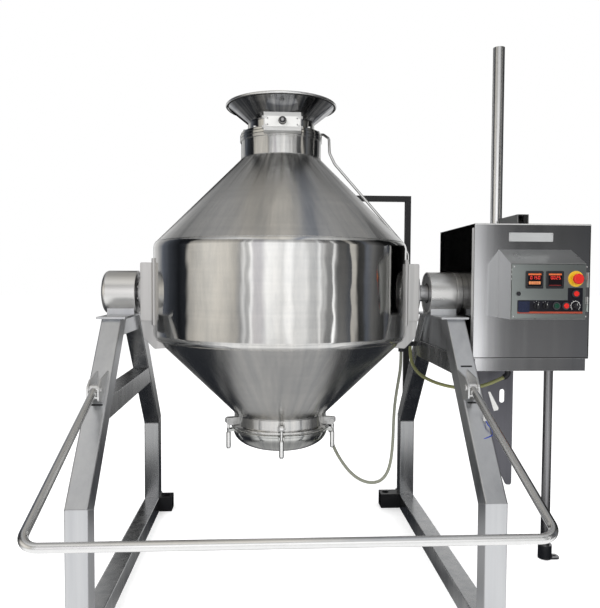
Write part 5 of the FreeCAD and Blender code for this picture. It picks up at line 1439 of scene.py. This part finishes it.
@dataclass
class Console:
    """Console case, door, meters and controls.

    Attributes:
        face: Y of the door's face in millimetres.
        legend: Y of the legend plate's face.
        window: Y of the meters' recessed windows.
        meters: X of the two meters.
        meter_z: their height.
        row_z: height of the row of controls.
        selectors: X of the two selectors.
        knob_x: X of the speed knob.
    """
    face: float = -345.3
    legend: float = -346.8
    window: float = -350.3
    meters: tuple[float, float] = (947.0, 1026.0)
    meter_z: float = 60.0
    row_z: float = -38.0
    selectors: tuple[float, float] = (957.0, 992.0)
    knob_x: float = 1108.0

    def build(self) -> None:
        """Makes displays, prints and pointers and dresses the nodes."""
        self._meter_windows()
        self._meter_lights()
        self._prints()
        self._pointers()
        self._keyhole_painted_shade()
        self._door_screws()
        dress(["console_body"], "console_sheet")
        dress(["console_door"], "door_sheet")
        dress(["panel_meters", "left_selector", "right_selector", "speed_knob"],
              "black_moulding")
        dress(["door_lock"], "door_sheet")
        dress(["legend_plate"], "legend_film")
        dress(["control_bezels"], "dark_sheet")
        dress(["estop_plate"], "yellow_moulding")
        dress(["estop_button", "stop_button", "reset_button"], "red_moulding")
        dress(["start_button"], "green_moulding")

    def _meter_windows(self) -> None:
        """Smoked windows in the meters."""
        mesh = bmesh.new()
        for x in self.meters:
            plate(mesh, 53.0, 49.0, 0.6, front_plane(x, self.window, self.meter_z), 0.4)
        add_object("meter_windows", mesh, "smoked_window", "door")

    def _meter_lights(self) -> None:
        """Lit digits and plain coloured strips on the meters."""
        left, right = self.meters
        front = self.window - 0.4
        mesh = bmesh.new()
        for x, digits in ((left, "0150"), (right, "0025")):
            for k, digit in enumerate(digits):
                seven_segment(mesh, digit, front_plane(x - 13.5 + 10 * k, front, self.meter_z + 8),
                              0.0072, 0.0125)
        add_object("meter_upper_digits", mesh, "digit_glow", "door")
        mesh = bmesh.new()
        for x in self.meters:
            plate(mesh, 50.0, 6.5, 0.5, front_plane(x, front, self.meter_z + 20.5), 0.3)
        add_object("meter_top_strips", mesh, "orange_print", "door")
        mesh = bmesh.new()
        plate(mesh, 45.0, 11.0, 0.8, front_plane(left, front, self.meter_z - 11.5), 0.3)
        add_object("meter_lower_strip", mesh, "amber_print", "door")
        mesh = bmesh.new()
        plate(mesh, 46.0, 3.0, 0.5, front_plane(right, front, self.meter_z - 20.5), 0.3)
        for k in range(4):
            seven_segment(mesh, "0", front_plane(left - 13.5 + 9 * k, front - 0.3, self.meter_z - 11.5),
                          0.0055, 0.0085)
        add_object("meter_faint_lines", mesh, "faint_digit_glow", "door")

    def _prints(self) -> None:
        """Strip under the legend, key pad, tick marks and the knob's scale."""
        mesh = bmesh.new()
        plate(mesh, 252.0, 7.0, 1.0, front_plane(1010, self.legend, -63.5), 0.3)
        add_object("legend_lower_strip", mesh, "red_print", "door")
        mesh = bmesh.new()
        plate(mesh, 43.0, 42.0, 2.5, front_plane(909, self.legend, -42.5), 0.6)
        for column in range(3):
            for row in range(3):
                key = front_plane(896 + 13 * column, self.legend - 0.6, -55.5 + 13 * row)
                plate(mesh, 10.0, 9.0, 1.5, key, 0.6)
        add_object("legend_key_pad", mesh, "navy_pad", "door")
        mesh = bmesh.new()
        for x in self.selectors:
            for turn in (55, 90, 125):
                self._tick(mesh, x, turn, 16.5, 3.6, 1.2)
        for k in range(11):
            self._tick(mesh, self.knob_x, 225 - 27 * k, 19.6, 3.4 if k % 5 else 4.6, 1.0)
        arc = [at(self.knob_x + 17.4 * math.cos(math.radians(a)), self.legend - 0.2,
                  self.row_z + 17.4 * math.sin(math.radians(a))) for a in range(225, -50, -9)]
        tube(mesh, arc, 0.0010, 8)
        add_object("legend_tick_marks", mesh, "white_print", "door")

    def _tick(self, mesh: bmesh.types.BMesh, x: float, turn: float, reach: float, length: float,
              width: float) -> None:
        """Adds one tick mark round a control.

        Args:
            mesh: bmesh to add to.
            x: the control's X in millimetres.
            turn: its bearing in degrees, from +X towards +Z.
            reach: distance of its middle from the control's axis.
            length: along its bearing.
            width: across it.
        """
        angle = math.radians(turn)
        spot = front_plane(x + reach * math.cos(angle), self.legend, self.row_z + reach * math.sin(angle))
        plate(mesh, length, width, width * 0.3, spot @ Matrix.Rotation(angle, 4, "Z"), 0.25)

    def _pointers(self) -> None:
        """White pointer lines on the selectors and the speed knob."""
        left, right = self.selectors
        for body, x, y in (("left_selector", left, -363.1), ("right_selector", right, -363.1),
                           ("speed_knob", self.knob_x, -361.1)):
            mesh = bmesh.new()
            plate(mesh, 1.6, 6.5, 0.5, front_plane(x, y, self.row_z + 5.5), 0.25)
            add_object(f"{body}_pointer", mesh, "white_print", body)

    def _keyhole_painted_shade(self) -> None:
        """Black plate in the lock's face standing for the dark keyhole: painted shade."""
        mesh = bmesh.new()
        plate(mesh, 15.0, 17.0, 7.0, front_plane(888, -348.6, 7), 0.3)
        add_object("door_lock_keyhole_painted_shade", mesh, "black_moulding", "door_lock")

    def _door_screws(self) -> None:
        """Domed screws in the door's corners."""
        mesh = bmesh.new()
        for x in (870.0, 1150.0):
            for z in (-78.0, 110.0):
                round_screw(mesh, front_plane(x, self.face, z), 0.0032)
        add_object("console_door_screws", mesh, "bar_satin", "door")


# Studio

class Tint(Enum):
    """Colour casts of the surroundings."""
    PLAIN = (1.0, 1.0, 1.0)
    WARM = (1.0, 0.96, 0.89)
    COOL = (0.84, 0.92, 1.10)
    LILAC = (1.0, 0.975, 1.0)


@dataclass(frozen=True)
class Stop:
    """Brightness of a screen at one place.

    Attributes:
        where: a bearing in degrees or a distance in metres.
        level: brightness there.
        tint: colour cast there.
    """
    where: float
    level: float
    tint: Tint = Tint.PLAIN


def between(stops: Sequence[Stop], where: float) -> Vector:
    """Colour at a place between stops.

    Args:
        stops: in rising order.
        where: the place, in the stops' unit.

    Returns:
        The colour, with its brightness in it.
    """
    if where <= stops[0].where:
        return Vector(stops[0].tint.value) * stops[0].level
    for low, high in zip(stops, stops[1:]):
        if where <= high.where:
            share = (where - low.where) / (high.where - low.where)
            first = Vector(low.tint.value) * low.level
            return first.lerp(Vector(high.tint.value) * high.level, share)
    return Vector(stops[-1].tint.value) * stops[-1].level


@dataclass
class Studio:
    """Pale floor, soft lamps, pale surroundings, and graded screens that only the steel reflects.

    Attributes:
        floor_half: half the floor's side in metres.
        radius: distance of the round screen.
        top: height of the ceiling screen.
        round_stops: brightness by bearing, from the camera side towards +X.
        height_stops: share of it by height.
        ceiling_stops: brightness across the ceiling.
        ceiling_depth: share of it from front to back.
        floor_stops: brightness of the floor screen by distance from the middle.
        front_floor_stops: the same on the camera side.
        flag_stops: brightness across the small screen before the cabinet.
        flag_y: Y of that screen.
    """
    floor_half: float = 40.0
    radius: float = 5.0
    top: float = 5.2
    round_stops: tuple[Stop, ...] = (
        Stop(-180, 0.70), Stop(-178, 0.0), Stop(-160, 0.0), Stop(-155, 0.80), Stop(-134, 0.52),
        Stop(-122, 0.16, Tint.COOL), Stop(-110, 0.06, Tint.COOL), Stop(-95, 0.015, Tint.COOL),
        Stop(-87, 0.03, Tint.COOL), Stop(-83, 0.52, Tint.WARM), Stop(-72, 0.76, Tint.WARM),
        Stop(-60, 0.88, Tint.WARM), Stop(-45, 0.76, Tint.WARM), Stop(-38, 0.60, Tint.WARM), Stop(-34, 0.42),
        Stop(-31, 0.95), Stop(-29, 0.58), Stop(-27, 0.68), Stop(-25.5, 1.45), Stop(-23.5, 0.82, Tint.LILAC),
        Stop(-17, 0.88, Tint.LILAC), Stop(-12, 1.30), Stop(-4, 1.15), Stop(0, 1.02), Stop(4, 1.35),
        Stop(7, 1.35),
        Stop(10, 1.05), Stop(18, 1.10), Stop(22, 0.80), Stop(28, 0.74), Stop(30.5, 1.25), Stop(32, 0.66),
        Stop(34, 0.68), Stop(36, 0.32), Stop(46, 0.28), Stop(49, 0.07, Tint.COOL), Stop(55, 0.07),
        Stop(57, 0.64, Tint.WARM), Stop(62, 0.60, Tint.WARM), Stop(64.5, 0.04), Stop(70, 0.06),
        Stop(74, 0.16, Tint.COOL), Stop(81, 0.16), Stop(90, 0.07), Stop(100, 0.012),
        Stop(122, 0.012, Tint.COOL),
        Stop(134, 0.20), Stop(142, 0.80), Stop(154, 0.80), Stop(163, 0.60), Stop(172, 1.0), Stop(180, 0.70))
    height_stops: tuple[Stop, ...] = (
        Stop(0.0, 0.60), Stop(0.5, 0.86), Stop(1.2, 1.00), Stop(1.8, 1.12), Stop(2.8, 0.85), Stop(3.8, 0.55),
        Stop(5.2, 0.42))
    ceiling_stops: tuple[Stop, ...] = (
        Stop(-5.0, 0.34), Stop(-2.2, 0.42), Stop(-1.2, 0.38, Tint.WARM), Stop(-0.35, 0.38, Tint.WARM),
        Stop(-0.05, 0.47, Tint.WARM), Stop(0.35, 0.44, Tint.WARM), Stop(0.7, 0.34),
        Stop(1.15, 0.20, Tint.COOL),
        Stop(1.7, 0.38), Stop(2.6, 0.36), Stop(5.0, 0.25))
    ceiling_depth: tuple[Stop, ...] = (
        Stop(-5.2, 2.0), Stop(-3.3, 2.1), Stop(-2.3, 2.0), Stop(-1.3, 1.5), Stop(-0.7, 1.40),
        Stop(-0.25, 1.30), Stop(0.1, 1.0), Stop(0.8, 0.9), Stop(5.2, 0.7))
    floor_stops: tuple[Stop, ...] = (
        Stop(0.0, 0.44), Stop(0.45, 0.43), Stop(0.58, 0.30), Stop(0.68, 0.03, Tint.COOL),
        Stop(1.6, 0.03, Tint.COOL), Stop(2.2, 0.12), Stop(5.2, 0.22))
    front_floor_stops: tuple[Stop, ...] = (
        Stop(0.0, 0.42), Stop(0.55, 0.42), Stop(0.9, 0.60), Stop(1.2, 1.05), Stop(2.5, 1.0), Stop(5.2, 0.9))
    flag_stops: tuple[Stop, ...] = (
        Stop(1.19, 1.0), Stop(1.23, 1.35), Stop(1.265, 1.1), Stop(1.30, 0.45), Stop(1.36, 0.26),
        Stop(1.44, 0.15), Stop(1.8, 0.13), Stop(2.3, 0.08, Tint.COOL))
    flag_y: float = -1.6

    def build(self) -> None:
        """Makes the whole studio."""
        self._world()
        self._floor()
        self._round_screen()
        self._flat_screens()
        self._lamps()

    def _world(self) -> None:
        """White for camera, glossy and transmission rays, and a plain level for the rest."""
        world = bpy.data.worlds.new("pale_room")
        bpy.context.scene.world = world
        world.use_nodes = True
        graph = Graph(world.node_tree)
        level = graph.spread(self._seen(graph), 0.65, 1.0)
        back = graph.add("ShaderNodeBackground", None, Color=(1.0, 1.0, 1.0), Strength=level)
        out = graph.add("ShaderNodeOutputWorld")
        graph.tree.links.new(back.outputs[0], out.inputs["Surface"])

    @staticmethod
    def _seen(graph: Graph) -> bpy.types.NodeSocket:
        """Is 1 for camera, glossy and transmission rays.

        Args:
            graph: the graph of the world or of a material.

        Returns:
            The value's socket.
        """
        path = graph.add("ShaderNodeLightPath")
        mirrored = graph.math("MAXIMUM", path.outputs["Is Glossy Ray"], path.outputs["Is Transmission Ray"])
        return graph.math("MAXIMUM", path.outputs["Is Camera Ray"], mirrored)

    def _floor(self) -> None:
        """Wide floor that the camera sees as white, with the shadow kept."""
        mesh = bmesh.new()
        half = self.floor_half
        mesh.faces.new([mesh.verts.new((x * half, y * half, 0.0))
                        for x, y in ((-1, -1), (1, -1), (1, 1), (-1, 1))])
        data = bpy.data.meshes.new("studio_floor")
        mesh.to_mesh(data)
        mesh.free()
        floor = bpy.data.objects.new("studio_floor", data)
        bpy.context.scene.collection.objects.link(floor)
        material = bpy.data.materials.new("pale_floor")
        material.use_nodes = True
        graph = Graph(material.node_tree)
        shader = graph.add("ShaderNodeBsdfPrincipled", None, Base_Color=(0.90, 0.90, 0.90), Roughness=0.8)
        shader.inputs["Specular IOR Level"].default_value = 0.0
        shader.inputs["Emission Color"].default_value = (1.0, 1.0, 1.0, 1.0)
        graph.set(shader, "Emission Strength", graph.math("MULTIPLY", self._seen(graph), 0.50))
        out = graph.add("ShaderNodeOutputMaterial")
        graph.tree.links.new(shader.outputs[0], out.inputs["Surface"])
        data.materials.append(material)

    def _screen(self, name: str, rows: Sequence[Sequence[Vector]], light: Sequence[Sequence[Vector]]) -> None:
        """Adds a graded screen that only reflections show.

        Args:
            name: the screen's name.
            rows: a grid of points.
            light: the brightness at each point.
        """
        mesh = bmesh.new()
        layer = mesh.verts.layers.float_color.new("screen_light")
        grid = []
        for points, colours in zip(rows, light):
            row = []
            for point, colour in zip(points, colours):
                vert = mesh.verts.new(point)
                vert[layer] = (*colour, 1.0)
                row.append(vert)
            grid.append(row)
        for low, high in zip(grid, grid[1:]):
            for k in range(len(low) - 1):
                mesh.faces.new([low[k], low[k + 1], high[k + 1], high[k]])
        data = bpy.data.meshes.new(name)
        mesh.to_mesh(data)
        mesh.free()
        material = bpy.data.materials.new(name + "_light")
        material.use_nodes = True
        graph = Graph(material.node_tree)
        given = graph.add("ShaderNodeAttribute", {"attribute_name": "screen_light"})
        glow = graph.add("ShaderNodeEmission", None, Color=given.outputs["Color"], Strength=1.0)
        out = graph.add("ShaderNodeOutputMaterial")
        graph.tree.links.new(glow.outputs[0], out.inputs["Surface"])
        data.materials.append(material)
        screen = bpy.data.objects.new(name, data)
        bpy.context.scene.collection.objects.link(screen)
        screen.visible_camera = False
        screen.visible_diffuse = False
        screen.visible_transmission = False
        screen.visible_shadow = False

    def _round_screen(self) -> None:
        """Round wall of light, graded by bearing and by height."""
        rows, light = [], []
        for height in (stop.where for stop in self.height_stops):
            share = between(self.height_stops, height)[1]
            bearings = [-180 + k for k in range(361)]
            rows.append([Vector((self.radius * math.sin(math.radians(b)),
                                 -self.radius * math.cos(math.radians(b)), height)) for b in bearings])
            light.append([between(self.round_stops, b) * share for b in bearings])
        self._screen("studio_round_screen", rows, light)

    def _flat_screens(self) -> None:
        """Ceiling, floor disc and the small screen before the cabinet."""
        half = self.radius * 1.05
        across = [half * (k / 30 - 1) for k in range(61)]
        self._screen("studio_ceiling_screen",
                     [[Vector((x, stop.where, self.top)) for x in across] for stop in self.ceiling_depth],
                     [[between(self.ceiling_stops, x) * stop.level for x in across]
                      for stop in self.ceiling_depth])
        reaches = [self.radius * 1.04 * k / 40 for k in range(41)]
        turns = [math.radians(6 * k) for k in range(61)]
        self._screen("studio_floor_screen",
                     [[Vector((r * math.cos(t), r * math.sin(t), 0.002)) for t in turns] for r in reaches],
                     [[self._floor_light(r, t) for t in turns] for r in reaches])
        steps = [1.19 + (2.3 - 1.19) * k / 40 for k in range(41)]
        self._screen("studio_cabinet_screen",
                     [[Vector((x, self.flag_y, z)) for x in steps] for z in (0.3, 0.75, 1.0, 1.5, 2.3)],
                     [[between(self.flag_stops, x) * share for x in steps]
                      for share in (0.9, 1.4, 1.2, 0.75, 0.6)])

    def _floor_light(self, reach: float, turn: float) -> Vector:
        """Brightness of the floor screen, which is pale before the machine and dark behind it."""
        share = min(1.0, max(0.0, (-math.sin(turn) - 0.25) / 0.4))
        return between(self.floor_stops, reach).lerp(between(self.front_floor_stops, reach), share)

    def _lamps(self) -> None:
        """Three large soft lamps."""
        for name, place, size, power in (
                ("key_lamp", (-2.6, -3.6, 4.2), 2.8, 130.0),
                ("fill_lamp", (3.4, -2.8, 2.8), 2.4, 50.0),
                ("back_lamp", (0.5, 4.0, 3.8), 2.8, 45.0)):
            light = bpy.data.lights.new(name, "AREA")
            light.size = size
            light.energy = power
            lamp = bpy.data.objects.new(name, light)
            bpy.context.scene.collection.objects.link(lamp)
            lamp.visible_glossy = False
            aim_line = Vector((0.2, 0.0, 1.1)) - Vector(place)
            turned = aim_line.to_track_quat("-Z", "Y").to_matrix().to_4x4()
            lamp.matrix_world = Matrix.Translation(place) @ turned


def main() -> None:
    """Builds the scene in order."""
    logging.basicConfig(level=logging.INFO, format="%(name)s: %(message)s")
    bpy.context.scene.view_settings.view_transform = "Standard"
    effects = Effects()
    for finish in FINISHES:
        finish.build(effects)
    Viewpoint().build()
    for cable in (LID_CABLE, SUPPLY_CABLE):
        cable.build()
    for part in (Vessel(), FeedEnd(), DischargeEnd(), Stands(), Cabinet(), Console()):
        part.build()
    Studio().build()


if __name__ == "__main__":
    main()
